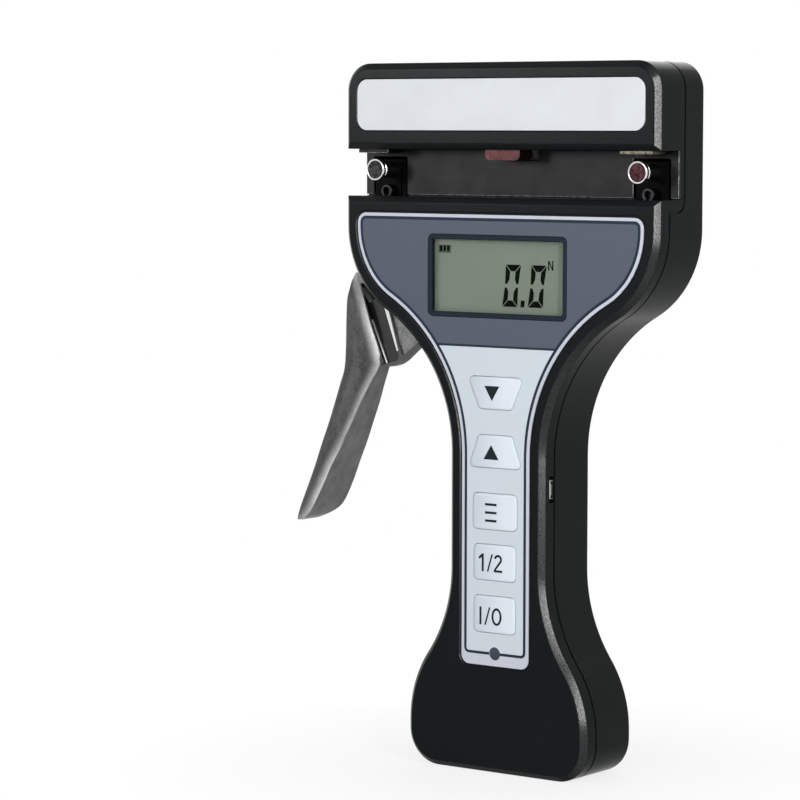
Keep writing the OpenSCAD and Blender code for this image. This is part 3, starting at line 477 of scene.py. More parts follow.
def cast_metal_with_painted_light():
    make = new_finish("cast_metal_with_painted_light")
    grain = make.noise(0.7, 3, roughness=0.7)
    blotch = make.noise(5, 4, (1, 1, 0.5), 0.65)
    sideways = make.facing("X")
    behind, height = behind_edge(make)
    wide = 1 - make.spread(height, -52, -80) * 0.42
    # painted highlight: a bright band along the inner edge that fades towards the back, wider
    # lower down
    painted_band = make.spread(behind * wide + blotch * 2 + grain * 1.6 - 1.8, 3.8, 0.2)
    # the flat inner face, and low down the faces just behind its edge, take the flat face's
    # painted tone
    low_inner = (make.spread(behind, 0.8, 0.4) * make.spread(height, -34, -38)
                 * make.spread(sideways, 0.35, 0.5))
    inner = make.spread(sideways, 0.83, 0.88) + low_inner
    # painted shade on faces turned to the left
    far = make.spread(sideways, -0.3, -0.8)
    skin_tone = make.mix(make.spread(blotch * 0.6 + grain * 0.4, 0.38, 0.62),
                         screen(48), screen(88))
    flat_face_painted_tone = make.mix(make.spread(blotch, 0.3, 0.7), screen(90),
                         screen(116))
    # colour of the painted highlight, brighter higher up
    bright = make.mix(make.spread(height, -62, -26), screen(184, 184, 183),
                      screen(224, 224, 223))
    rounded_tone = make.mix(painted_band * painted_band, make.mix(far, skin_tone, screen(54)), bright)
    return make.surface({
        "Base Color": make.mix(inner, rounded_tone, flat_face_painted_tone),
        "Metallic": 0.25,
        "Roughness": 0.5 + grain * 0.06,
        "Specular IOR Level": 0.2,
        "Normal": make.bump(grain * 0.6 + blotch, 0.03),
    })


CAST_METAL_WITH_PAINTED_LIGHT = cast_metal_with_painted_light()
# darker and lighter copies of the cast finish: painted shade for the web recesses, the lever's
# hollow and the arm's faces, painted light for the pocket floors
CAST_SKIN_PAINTED_SHADE = metal("cast_skin_painted_shade", screen(15), screen(32), 0.4, 0.7, depth=0.04,
                  metallic=0.5, patch_size=5)
CAST_FLOOR_PAINTED_LIGHT = metal("cast_floor_painted_light", screen(74), screen(150, 150, 148), 0.5, 0.9,
                   depth=0.05, metallic=0.3, patch_size=3)
CAST_SIDE_PAINTED_SHADE = metal("cast_side_painted_shade", screen(36), screen(74), 0.45, 0.7,
                  depth=0.04, metallic=0.3, patch_size=4)
CASTING = [CAST_METAL_WITH_PAINTED_LIGHT, CAST_SKIN_PAINTED_SHADE, CAST_FLOOR_PAINTED_LIGHT, CAST_SIDE_PAINTED_SHADE]

# %% [markdown]
# ## Finishes inside the case
#
# The board, the cell and the cradle are hardly seen, but a part is looked at from every side
# and may be opened. The board's green varnish lies over copper lines, so stretched noise
# under it hints at them.

# %% Inner finishes
def varnished_board():
    make = new_finish("varnished_board")
    rows = make.noise(1.6, 1, (0.2, 1, 1))
    columns = make.noise(1.6, 1, (1, 1, 0.2))
    copper = make.spread(rows, 0.5, 0.54) * make.spread(columns, 0.45, 0.5)
    return make.surface({
        "Base Color": make.mix(copper, screen(14, 74, 42), screen(34, 104, 58)),
        "Roughness": 0.3 + rows * 0.1,
        "Normal": make.bump(copper, 0.02),
    })


BOARD_GREEN = varnished_board()
INNER_BLACK = moulded_black("inner_black", screen(30, 30, 32), screen(42, 42, 44), 0.5)
HOLDER_WHITE = printed_film("holder_white", screen(226, 226, 220), (0.95, 0.95, 0.97))
CELL_SLEEVE = printed_film("cell_sleeve", screen(52, 110, 160), (0.9, 0.95, 1.0), 0.04)
LENS_DARK = printed_film("lens_dark", screen(52, 60, 74), (0.7, 0.8, 0.9), 0.002)
LAMP_CLEAR = printed_film("lamp_clear", screen(214, 214, 200), (0.95, 0.95, 0.95))
print("finishes made:", len(bpy.data.materials))

# %% [markdown]
# ## Sizes from the working model
#
# The model's own boxes give most sizes, so that the dressing follows it. Only what a box
# can't tell, such as the radius of a curve, is written here as a number.

# %% Sizes of the case
cover_low, cover_high = limits("front_cover")
half_top = cover_high.x
front_y = cover_low.y
high_y = cover_high.y
total_h = cover_high.z
casing_low, casing_high = limits("rear_casing")
low_y = casing_low.y
back_y = casing_high.y
wear_low, wear_high = limits("wear_plate")
plate_y = wear_low.y
plate_back_y = wear_high.y
head_z = wear_high.z
PLATE_LIFT = 0.4
body_h = wear_low.z - PLATE_LIFT
half_grip = 22.5
half_foot = 42.6
BEVEL = 2.3
WALL = 2.4
inner_front_y = front_y + WALL
inner_back_y = back_y - WALL
SHOULDER_R = 39
shoulder_z = body_h - 11.7
WAIST_R = 63.5
FLARE_R = 61.3
FLARE_Z = 80.5
FOOT_R = 47.1
HEEL_R = 14
HEAD_R = 11
step_z = body_h - 4.7
STEP_R = 4.5
# How far a cutter reaches past what it cuts.
PAST = 1
print("case", round(2 * half_top, 1), "wide,", round(back_y - front_y, 1), "deep,",
      round(total_h, 1), "high; throat from", round(body_h, 1), "to", round(head_z, 1))

# %% [markdown]
# ## The outline of the case
#
# Seen from the front the case is drawn with arcs that touch each other: shoulder, waist,
# grip, flare, foot and heel. One function gives the points of an arc, and the outlines are
# sums of arcs, each moved in by a distance d. Moving in keeps the centres and changes the
# radii, so the inset outlines stay parallel.

# %% Outlines from arcs
ARC_STEPS = 28
shoulder_sum = SHOULDER_R + WAIST_R
shoulder_a = math.acos((shoulder_sum - half_top + half_grip) / shoulder_sum)
waist_z = shoulder_z - shoulder_sum * math.sin(shoulder_a)
flare_sum = FLARE_R + FOOT_R
flare_a = math.acos((flare_sum - half_foot + half_grip) / flare_sum)
RIGHT_ANGLE = math.pi / 2


def arc(cx, cz, r, a0, a1, steps=ARC_STEPS, first=0):
    """Points on an arc from angle a0 to angle a1."""
    turn = [a0 + (a1 - a0) * i / steps for i in range(first, steps + 1)]
    return [(cx + r * math.cos(a), cz + r * math.sin(a)) for a in turn]


def both_halves(right):
    """A closed outline from its right half, which runs from top to bottom."""
    return right + [(-x, z) for x, z in reversed(right)]


def shoulder_half(d):
    return arc(half_top - SHOULDER_R, shoulder_z, SHOULDER_R - d, 0, -shoulder_a) + arc(
        half_grip + WAIST_R, waist_z, WAIST_R + d, math.pi - shoulder_a, math.pi, first=1)


def foot_half(d):
    foot_z = FLARE_Z - flare_sum * math.sin(flare_a)
    return arc(half_grip + FLARE_R, FLARE_Z, FLARE_R + d, math.pi, math.pi + flare_a) + arc(
        half_foot - FOOT_R, foot_z, FOOT_R - d, flare_a, 0, first=1) + arc(
        half_foot - HEEL_R, HEEL_R, HEEL_R - d, 0, -RIGHT_ANGLE, 14)


def head_half(d):
    return arc(half_top - HEAD_R, total_h - HEAD_R, HEAD_R - d, RIGHT_ANGLE, 0, 14)


# %% Outlines of the cover, the head and the whole case
def body_outline(d):
    return both_halves([(half_top - d, body_h - d)] + shoulder_half(d) + foot_half(d))


def head_outline(d):
    return both_halves(head_half(d) + [(half_top - d, head_z + d)])


def case_outline(d):
    return both_halves(head_half(d) + shoulder_half(d) + foot_half(d))


def round_box(half, z0, z1, r, grow=0.0, steps=8):
    """A rectangle with round corners, from its half width and heights, grown all round."""
    half, z0, z1, r = half + grow, z0 - grow, z1 + grow, r + grow
    return both_halves(arc(half - r, z1 - r, r, RIGHT_ANGLE, 0, steps) + arc(
        half - r, z0 + r, r, 0, -RIGHT_ANGLE, steps))


def round_edge(width, r):
    """Inset and depth of points over a chamfer whose two edges are rounded with r."""
    lead = r * math.tan(math.pi / 8)
    steep = [math.radians(a) for a in (0, 15, 30, 45)]
    front = [(width + lead - r * math.sin(a), r - r * math.cos(a)) for a in steep]
    return front + [(depth, inset) for inset, depth in reversed(front)]


print("outline of the case:", len(case_outline(0)), "points")

# %% [markdown]
# ## Meshes from outlines
#
# Nearly all pieces are outlines given a depth, or lofts through several outlines. Cuts and
# unions are Boolean modifiers with the manifold solver, which is fast and keeps the mesh
# closed. Each result gets smooth shading with its sharp edges kept, and weighted normals, so
# that flat faces beside a rounded edge still look flat.


# %% Making meshes
def mesh_piece(name, points, faces):
    """A new object from points in millimetres."""
    mesh = bpy.data.meshes.new(name)
    mesh.from_pydata([Vector(p) * MM for p in points], [], faces)
    shape = bmesh.new()
    shape.from_mesh(mesh)
    bmesh.ops.remove_doubles(shape, verts=shape.verts, dist=0.0005 * MM)
    bmesh.ops.recalc_face_normals(shape, faces=shape.faces)
    shape.to_mesh(mesh)
    shape.free()
    piece = bpy.data.objects.new(name, mesh)
    bpy.context.scene.collection.objects.link(piece)
    return piece


def skin(name, rings):
    """A closed skin over rings of equal count, with a flat face at each end."""
    n = len(rings[0])
    points = [p for ring in rings for p in ring]
    faces = [tuple(range(n)), tuple(range(len(points) - n, len(points)))]
    for k in range(len(rings) - 1):
        for i in range(n):
            j = (i + 1) % n
            faces.append((k * n + i, k * n + j, (k + 1) * n + j, (k + 1) * n + i))
    return mesh_piece(name, points, faces)


def loft(name, outlines, depths):
    """A skin over outlines in X and Z that lie at the given depths in Y."""
    return skin(name, [[(x, y, z) for x, z in line] for line, y in zip(outlines, depths)])


def slab(name, outline, y0, y1):
    return loft(name, [outline, outline], [y0, y1])


def box(name, x, y, z):
    return slab(name, [(x[0], z[0]), (x[1], z[0]), (x[1], z[1]), (x[0], z[1])], y[0], y[1])


def across(name, outline):
    """An outline in Y and Z, filled across the whole width."""
    x = half_top + PAST
    return skin(name, [[(s, y, z) for y, z in outline] for s in (-x, x)])


# %% Turned pieces
def turned(name, profile, x, z, steps=48):
    """A solid of revolution round a line along Y, from pairs of radius and depth."""
    rings = [[(x + r * math.cos(a), y, z + r * math.sin(a))
              for a in (2 * math.pi * i / steps for i in range(steps))] for r, y in profile]
    return skin(name, rings)


def bar(name, x, z, r, y0, y1, steps=40):
    return turned(name, [(r, y0), (r, y1)], x, z, steps)


# %% Cutting, joining and rounding
def settle(piece):
    """Applies the modifiers of a piece to its mesh."""
    graph = bpy.context.evaluated_depsgraph_get()
    mesh = bpy.data.meshes.new_from_object(piece.evaluated_get(graph))
    piece.modifiers.clear()
    piece.data = mesh
    return piece


def carve(piece, operation, *tools):
    """Cuts tools from a piece, joins them to it, or keeps what they share."""
    for tool in tools:
        step = piece.modifiers.new("carve", "BOOLEAN")
        step.operation = operation
        step.solver = "MANIFOLD"
        step.object = tool
    settle(piece)
    for tool in tools:
        bpy.data.objects.remove(tool)
    return piece


def soften(piece, width, segments=2, angle=35):
    """Rounds every edge that is sharper than angle."""
    step = piece.modifiers.new("soften", "BEVEL")
    step.width = width * MM
    step.segments = segments
    step.limit_method = "ANGLE"
    step.angle_limit = math.radians(angle)
    step.miter_outer = "MITER_ARC"
    return settle(piece)


# %% Dressing a piece
def smooth(piece, angle=32):
    """Smooth shading that keeps sharp edges and flat faces."""
    piece.data.shade_smooth()
    piece.data.set_sharp_from_angle(angle=math.radians(angle))
    step = piece.modifiers.new("flat faces", "WEIGHTED_NORMAL")
    step.keep_sharp = True
    return piece


def dress(piece, finishes, body, slot, *nodes):
    """Gives a piece its finish and its body, and says which nodes it stands for."""
    if not isinstance(finishes, list):
        finishes = [finishes]
    kept = [face.material_index for face in piece.data.polygons]
    piece.data.materials.clear()
    for finish in finishes:
        piece.data.materials.append(finish)
    piece.data.polygons.foreach_set("material_index", kept if len(finishes) > 1
                                    else [0] * len(kept))
    smooth(piece)
    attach(piece, body)
    if nodes:
        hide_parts(*nodes)
    print(piece.name, len(piece.data.polygons), "faces")
    return piece


def copy_node(node, width):
    """A copy of a node of the working model, with every sharp edge rounded."""
    source = frame["nodes"][node]
    piece = bpy.data.objects.new(node + "_dressed", source.data.copy())
    bpy.context.scene.collection.objects.link(piece)
    shape = bmesh.new()
    shape.from_mesh(piece.data)
    bmesh.ops.remove_doubles(shape, verts=shape.verts, dist=0.002 * MM)
    bmesh.ops.dissolve_limit(shape, angle_limit=math.radians(1), verts=shape.verts,
                             edges=shape.edges)
    shape.to_mesh(piece.data)
    shape.free()
    return soften(piece, width)


# %% [markdown]
# ## Front cover
#
# The cover is one moulding. Its front edges carry a wide chamfer, and the throat is cut
# across it, with the same chamfer on the throat's own edges. A loft through the body's
# outline and one through the head's give both, and a block behind the throat joins them.

# %% Cuts that several pieces need
EDGE_R = 0.8
front_edge = round_edge(BEVEL, EDGE_R)
print("each front edge has", len(front_edge), "lines of points")


def parting_band(shift):
    """The parting line as points of Y and Z, moved back by shift."""
    curve = arc(high_y - STEP_R, step_z + STEP_R, STEP_R + shift, -RIGHT_ANGLE, 0, 12)
    return [(low_y + shift, -PAST), (low_y + shift, step_z - shift)] + curve + [
        (high_y + shift, total_h + PAST)]


GROOVE_HALF = 0.5
GROOVE_DEEP = 0.6


def parting_groove():
    """The dark line round the case between cover and casing."""
    band = across("band", parting_band(-GROOVE_HALF) + parting_band(GROOVE_HALF)[::-1])
    outer = slab("outer", case_outline(-PAST), low_y - PAST, high_y + 2 * PAST)
    inner = slab("inner", case_outline(GROOVE_DEEP), low_y - 2 * PAST, high_y + 3 * PAST)
    ring = carve(outer, "DIFFERENCE", inner)
    return carve(band, "INTERSECT", ring)


# %% Outline of the label
label_low, label_high = limits("overlay_label")
label_in = half_top - label_high.x
label_top = label_high.z
label_z = label_low.z
label_back_y = label_high.y
LABEL_CORNER = 4
LABEL_TIP_R = 3.5
LABEL_GAP = 0.7


def label_outline(inset, lift=0.0):
    """The label's outline, moved in by inset, and at its lower edge by lift more."""
    d = label_in + inset
    half, strip, z0 = half_top - d, half_grip - d, label_z + inset + lift
    corner, tip = max(LABEL_CORNER - inset, 1), max(LABEL_TIP_R - inset, 1)
    return both_halves(
        arc(half - corner, label_top - inset - corner, corner, RIGHT_ANGLE, 0, 10)
        + shoulder_half(d) + arc(strip - tip, z0 + tip, tip, 0, -RIGHT_ANGLE, 10))


print("label from", round(label_z, 1), "to", round(label_top, 1))

# %% Plate and display frame
plate_low, plate_high = limits("head_plate")
plate_deep = plate_high.y - front_y
PLATE_R = 4.7
plate_shape = (plate_high.x, plate_low.z, plate_high.z, PLATE_R)
FIT_GAP = 0.1
bezel_low, bezel_high = limits("lcd_bezel")
bezel_back_y = bezel_high.y
BEZEL_R = 2.4
bezel_shape = (bezel_high.x, bezel_low.z, bezel_high.z, BEZEL_R)
WINDOW_EDGE = 1
WINDOW_R = 1
LIP = 0.4
print("display frame", round(2 * bezel_high.x, 1), "wide")

# %% Outlines of the keys
KEYS = ["key_down", "key_up", "key_mode", "key_unit", "key_power"]
KEY_TOP_HALF = [12.3, 8.6, 10.4, 9.9, 9.8]
KEY_LOW_HALF = [8.4, 11.9, 10.4, 9.9, 9.8]
KEY_FLANGE = 1
KEY_R = 2
KEY_GAP = 0.2
key_front_y = limits("key_down")[0].y


def key_outline(i, grow):
    """Outline of a key, grown by a distance; the upper two keys are trapezia."""
    low, high = limits(KEYS[i])
    r = max(KEY_R + grow, 0.6)
    z0, z1 = low.z + KEY_FLANGE - grow, high.z - KEY_FLANGE + grow
    return both_halves(
        arc(KEY_TOP_HALF[i] + grow - r, z1 - r, r, RIGHT_ANGLE, 0, 6)
        + arc(KEY_LOW_HALF[i] + grow - r, z0 + r, r, 0, -RIGHT_ANGLE, 6))


print("key_down has", len(key_outline(0, 0)), "points in its outline")

# %% Holes for the lens, the keys and the socket
lens_z = centre("indicator_lens").z
LENS_R = 2.5


def face_holes(front, back):
    """Cutters for the lens and the keys, which come through the cover and the label."""
    return [bar("lens_hole", 0, lens_z, LENS_R + FIT_GAP, front, back)] + [
        slab("key_hole", key_outline(i, KEY_GAP), front, back) for i in range(len(KEYS))]


usb_low, usb_high = limits("usb_port")
_, usb_y, usb_z = centre("usb_port")
USB_MOUTH_HALF = 5.2
USB_GAP = 0.6
USB_BEHIND = 0.4


def usb_notch(y0, y1):
    """A cutter for the socket's notch in the right side."""
    return box("usb_notch", (half_grip - WALL - PAST, half_grip + PAST), (y0, y1),
               (usb_z - USB_MOUTH_HALF, usb_z + USB_MOUTH_HALF))


print("lens at height", round(lens_z, 1), "and socket at", round(usb_z, 1))

# %% Openings for the brackets and the riser
bracket_low, bracket_high = limits("right_bracket")
post_x = centre("right_bracket").x
NOTCH_GAP = 0.8
NOTCH_DEEP = 4
notch_half = (bracket_high.x - bracket_low.x) / 2 + NOTCH_GAP
NOTCH_OVER = 1.1
notch_top = bracket_high.z + NOTCH_OVER
riser_low, riser_high = limits("riser")
RISER_GAP = 0.5
RISER_SLOT_GAP = 1.45
riser_slot_half = riser_high.x + RISER_SLOT_GAP
riser_z0 = riser_low.z
print("posts stand", round(post_x, 1), "to each side of the middle")


# %% Front cover
PAST_PARTING = 3


def front_cover():
    depths = [front_y + depth for _, depth in front_edge] + [high_y]
    insets = [inset for inset, _ in front_edge] + [0]
    cover = loft("front_cover_dressed", [body_outline(d) for d in insets], depths)
    head = loft("head", [head_outline(d) for d in insets], depths)
    block = box("block", (-half_top, half_top), (plate_back_y, high_y),
                (body_h - PAST, head_z + PAST))
    carve(cover, "UNION", head, block)
    hollow = slab("hollow", body_outline(WALL), inner_front_y, high_y + PAST)
    hollow_head = slab("hollow_head", head_outline(WALL), inner_front_y, high_y + PAST)
    far_y = high_y + PAST_PARTING
    behind = across("behind", parting_band(0) + [(far_y, total_h + PAST), (far_y, -PAST)])
    carve(cover, "DIFFERENCE", hollow, hollow_head, behind, parting_groove())
    carve(cover, "DIFFERENCE", *front_openings())
    return dress(cover, CASE_BLACK, "housing", "case_plastic", "front_cover")


def front_openings():
    """Every hole and recess that shows in the front cover."""
    front, through = front_y - PAST, inner_front_y + PAST
    cuts = [
        loft("label_recess", [label_outline(-LABEL_GAP - LIP - PAST),
                              label_outline(-LABEL_GAP), label_outline(-LABEL_GAP)],
             [front, front_y + LIP, label_back_y]),
        loft("plate_recess", [
            round_box(*plate_shape, g) for g in (FIT_GAP + LIP + PAST, FIT_GAP, FIT_GAP)],
            [front, front_y + LIP, front_y + plate_deep]),
        slab("frame_recess", round_box(*bezel_shape, FIT_GAP), front, bezel_back_y),
        slab("window_hole", round_box(*bezel_shape[:3], WINDOW_R + WINDOW_EDGE, -WINDOW_EDGE),
             front, through),
        box("riser_slot", (-riser_slot_half, riser_slot_half), (plate_y, high_y + PAST),
            (riser_z0, head_z + WALL + PAST)),
        box("riser_mouth", (-riser_high.x - RISER_GAP, riser_high.x + RISER_GAP),
            (riser_low.y - RISER_GAP, plate_y + PAST), (head_z - PAST, head_z + WALL + PAST)),
        usb_notch(usb_low.y - USB_GAP, low_y + PAST),
    ]
    notches = [box("notch", (x - notch_half, x + notch_half),
                   (plate_y - NOTCH_DEEP, high_y + PAST), (body_h - WALL - PAST, notch_top))
               for x in (-post_x, post_x)]
    return cuts + face_holes(front, through) + notches


front_cover()

# %% [markdown]
# ## Rear casing
#
# The casing is a deep tray with a rounded back edge. Ten screws go in from the back, each in
# a counterbore, and the left side has a slot for the arm of the trigger.

# %% Rear casing
REAR_R = 2
ARM_SLOT_HALF = 3.6
ARM_SLOT_DOWN, ARM_SLOT_UP = 26, 4.5
ARM_SLOT_IN = 10
SCREW_HEAD_R = 2.9
SCREW_HEAD_H = 2.2
SHANK_HOLE_R = 1.7
BORE_GAP = 0.1
BORE_FLARE = 1.4
BORE_FLARE_DEEP = 0.3
case_screw_places = [(side * x, z) for side in (-1, 1) for x, z in (
    (half_top - 14.1, total_h - 16.6), (post_x, body_h - 25),
    (half_grip - 5.5, waist_z + 14.7), (half_grip - 5, FLARE_Z - 16.5),
    (half_foot - 12.6, HEEL_R + 2))]


def rear_casing():
    steps = [math.radians(a) for a in (0, 18, 36, 54, 72, 90)]
    insets = [0] + [REAR_R * (1 - math.cos(a)) for a in steps]
    depths = [low_y] + [back_y - REAR_R + REAR_R * math.sin(a) for a in steps]
    casing = loft("rear_casing_dressed", [case_outline(d) for d in insets], depths)
    hollow = slab("hollow", case_outline(WALL), low_y - PAST, inner_back_y)
    far_y = low_y - PAST_PARTING
    front = across("front", parting_band(0) + [(far_y, total_h + PAST), (far_y, -PAST)])
    cuts = [
        box("arm_slot", (-half_top - PAST, -half_grip - ARM_SLOT_IN),
            (-ARM_SLOT_HALF, ARM_SLOT_HALF), (pivot_z - ARM_SLOT_DOWN, pivot_z + ARM_SLOT_UP)),
        usb_notch(low_y - PAST, low_y + USB_BEHIND)]
    bore_r = SCREW_HEAD_R + BORE_GAP
    for x, z in case_screw_places:
        cuts.append(turned("bore", [
            (bore_r, back_y - SCREW_HEAD_H), (bore_r, back_y - BORE_FLARE_DEEP),
            (SCREW_HEAD_R + BORE_FLARE, back_y + PAST)], x, z))
        cuts.append(bar("shank_hole", x, z, SHANK_HOLE_R, inner_back_y - PAST, back_y))
    carve(casing, "DIFFERENCE", hollow, front, parting_groove(), *cuts)
    return dress(casing, CASE_BLACK, "housing", "case_plastic", "rear_casing")


rear_casing()

# %% [markdown]
# ## Label
#
# The label is one film printed in four layers: a pale border, a dark line, a slate field
# round the display and a silver field round the keys. Each layer is its own thin plate, a
# fiftieth of a millimetre over the one below, so the colours meet in clean edges without
# any picture.

# %% Label layers
LAYER = 0.02
PRINT_T = 0.8 * LAYER
LABEL_SUNK = 0.14
BORDER = 1.25
LINE = 1.2
TIP_BORDER = 4.3
TIP_LINE = 1.1
DIVIDER_Z = 168.2
DIVIDER_T = 0.9


def label_layer(name, outline, level, material, *nodes, keep=None):
    """One printed layer, of which only the heights in keep are kept."""
    top = front_y + LABEL_SUNK - level * LAYER
    piece = slab(name, outline, top, label_back_y if nodes else top + PRINT_T)
    front, back = front_y - PAST, label_back_y + PAST
    if keep:
        carve(piece, "INTERSECT", box("keep", (-half_top, half_top), (front, back), keep))
    frame_hole = slab("frame_hole", round_box(*bezel_shape, FIT_GAP), front, back)
    carve(piece, "DIFFERENCE", frame_hole, *face_holes(front, back))
    return dress(piece, material, "housing", "label_film", *nodes)


label_layer("label_border", label_outline(0), 0, FILM_WHITE, "overlay_label")
label_layer("label_line", label_outline(BORDER, TIP_BORDER - BORDER), 1, FILM_LINE)
inner_field = label_outline(BORDER + LINE, TIP_BORDER + TIP_LINE - BORDER - LINE)
label_layer("label_upper_field", inner_field, 2, FILM_SLATE,
            keep=(DIVIDER_Z + DIVIDER_T / 2, label_top + PAST))
label_layer("label_lower_field", inner_field, 2, FILM_PALE,
            keep=(label_z, DIVIDER_Z - DIVIDER_T / 2))

# %% [markdown]
# ## Keys
#
# Each key is embossed film over a rubber pad: a soft pillow with a thin shaded line where
# it bends up out of the label. A loft from a flange behind the cover through a rounded
# shoulder to a flat top gives it, and the key rides on its own body so that it can be
# pressed. The marks are plain signs, printed on top.

# %% Keys
CROWN = [(0.0, 0.42), (-0.12, 0.3), (-0.35, 0.16), (-0.75, 0.06), (-1.5, 0.0)]
MARK_T = 0.02
FLANGE_T = 1.2


def key(i):
    low, high = limits(KEYS[i])
    deep = high.y - low.y
    shape = [(KEY_FLANGE, deep), (KEY_FLANGE, deep - FLANGE_T), (0, deep - FLANGE_T)] + CROWN
    piece = loft(KEYS[i] + "_dressed", [key_outline(i, grow) for grow, _ in shape],
                 [key_front_y + MARK_T + depth for _, depth in shape])
    return dress(piece, FILM_KEY_PAINTED_LIGHT, KEYS[i], "key_film", KEYS[i])


for i in range(len(KEYS)):
    key(i)

# %% [markdown]
# ## Key marks
#
# The upper two keys carry a triangle pointing down and one pointing up. The three below
# carry plain signs: three bars, a one over a two, and a bar with a ring.

# %% Key marks
INK_T = 0.03


def mark(name, i, *outlines):
    """Thin printed shapes on top of a key."""
    parts = [slab(name, line, key_front_y, key_front_y + INK_T) for line in outlines]
    if len(parts) > 1:
        carve(parts[0], "UNION", *parts[1:])
    return dress(parts[0], INK, KEYS[i], "key_film")


def stroke(x0, z0, x1, z1, width):
    """A straight printed stroke as an outline."""
    along = Vector((x1 - x0, z1 - z0)).normalized() * width / 2
    side = Vector((-along.y, along.x))
    return [(x0 + side.x, z0 + side.y), (x1 + side.x, z1 + side.y),
            (x1 - side.x, z1 - side.y), (x0 - side.x, z0 - side.y)]


def ring(cx, cz, rx, rz, width, steps=32):
    """The two outlines of an oval ring."""
    turn = [2 * math.pi * i / steps for i in range(steps)]
    return ([(cx + rx * math.cos(a), cz + rz * math.sin(a)) for a in turn],
            [(cx + (rx - width) * math.cos(a), cz + (rz - width) * math.sin(a))
             for a in turn])


mark("mark_down", 0, [(-4.95, 152.85), (2.2, 152.85), (-1.38, 147.0)])
mark("mark_up", 1, [(-1.65, 129.75), (-5.25, 124.05), (1.95, 124.05)])
STROKE = 0.95
for i, z in enumerate((106.4, 103.2, 100.0)):
    mark("mark_mode_%d" % (i + 1), 2, stroke(-4.4, z, 1.1, z, STROKE))
print("key marks made")

# %% Marks of the unit key and the power key
LETTER_Z0, LETTER_Z1 = 79.9, 86.9
mark("mark_unit_one", 3, stroke(-5.4, LETTER_Z0, -5.4, LETTER_Z1, STROKE),
     stroke(-7.2, LETTER_Z1 - 1.9, -5.4, LETTER_Z1 - 0.3, STROKE))
mark("mark_unit_slash", 3, stroke(-3.1, LETTER_Z0, -0.9, LETTER_Z1, 0.7))
two_top = arc(1.9, LETTER_Z1 - 1.9, 1.9, math.pi * 0.95, -0.6, 14)
two_inner = arc(1.9, LETTER_Z1 - 1.9, 1.0, math.pi * 0.95, -0.6, 14)
mark("mark_unit_two", 3, two_top + [(0.9, LETTER_Z0 + 0.9), (3.9, LETTER_Z0 + 0.9),
                                    (3.9, LETTER_Z0), (-0.1, LETTER_Z0),
                                    (-0.1, LETTER_Z0 + 0.9)] + two_inner[::-1])
POWER_Z0, POWER_Z1 = 58.8, 65.9
mark("mark_power_on", 4, stroke(-6.4, POWER_Z0, -6.4, POWER_Z1, STROKE))
mark("mark_power_slash", 4, stroke(-4.2, POWER_Z0, -2.0, POWER_Z1, 0.7))
ring_outer, ring_inner = ring(1.3, (POWER_Z0 + POWER_Z1) / 2, 2.4, 3.5, STROKE)
off = slab("mark_power_off", ring_outer, key_front_y, key_front_y + INK_T)
carve(off, "DIFFERENCE", slab("ring_hole", ring_inner, key_front_y - PAST,
                              key_front_y + PAST))
dress(off, INK, KEYS[4], "key_film")

# %% [markdown]
# ## Display
#
# The display sits deep in a dark frame, under a clear window. Its marks are cut from thin
# plates on the glass: seven bars make a figure, with pointed ends and thin gaps between
# them, and a small battery stands in the corner.

# %% Display frame, window and glass
glass_low, glass_high = limits("lcd_glass")
FRAME_BORDER = 2
FRAME_EDGE = 0.25
OPENING_EDGE = 0.3


def display_frame():
    """A ring with a fine chamfer outside and one at its opening."""
    piece = loft("display_frame", [round_box(*bezel_shape, -d) for d in (FRAME_EDGE, 0, 0)],
                 [front_y, front_y + FRAME_EDGE, bezel_back_y])
    half, z0, z1, _ = bezel_shape
    opening = (half - FRAME_BORDER, z0 + FRAME_BORDER, z1 - FRAME_BORDER, WINDOW_R)
    hole = loft("hole", [
        round_box(*opening, g) for g in (OPENING_EDGE + PAST, OPENING_EDGE, 0, 0)],
        [front_y - PAST, front_y, front_y + OPENING_EDGE, bezel_back_y + PAST])
    carve(piece, "DIFFERENCE", hole)
    return dress(piece, FRAME_NAVY, "housing", "display_frame", "lcd_bezel")


def display_window():
    low, high = limits("lcd_window")
    outline = round_box(high.x, low.z, high.z, WINDOW_R)
    piece = slab("display_window", outline, low.y, high.y)
    soften(piece, 0.15)
    return dress(piece, WINDOW_CLEAR, "housing", "display_window", "lcd_window")


def display_glass():
    piece = box("display_glass", (-glass_high.x, glass_high.x),
                (glass_low.y, glass_high.y), (glass_low.z, glass_high.z))
    soften(piece, 0.2)
    return dress(piece, DISPLAY_GROUND, "housing", "display_glass", "lcd_glass")


display_frame()
display_window()
display_glass()

# %% Figures on the display
DIGIT_W = 7.15
DIGIT_H = 16.4
DIGIT_BAR = 2.3
DIGIT_CAP = 2.5
DIGIT_GAP = 0.22
DIGIT_WAIST = 0.7
DIGIT_LEAN = 0.105
digit_y = glass_low.y - INK_T
ZERO = "abcdef"


def lean(points, x, z):
    """Moves a figure to its place and leans it to the right."""
    return [(x + px + DIGIT_LEAN * pz, z + pz) for px, pz in points]


def segments():
    """The outer six bars of a figure: flat outside, and mitred where two bars meet."""
    w, h, t, g, half = DIGIT_W, DIGIT_H, DIGIT_BAR, DIGIT_GAP, DIGIT_H / 2
    cap = DIGIT_CAP
    top = [(g, h), (w - g, h), (w - t - g, h - cap), (t + g, h - cap)]
    left = [(0, h - g), (t, h - cap - g), (t, half + t + g), (0.6 * t, half + DIGIT_WAIST),
            (0.2 * t, half + DIGIT_WAIST)]

    def turned_over(points):
        return [(x, h - z) for x, z in points]

    def mirrored(points):
        return [(w - x, z) for x, z in points]

    return {"a": top, "d": turned_over(top), "f": left, "b": mirrored(left),
            "e": turned_over(left), "c": mirrored(turned_over(left))}


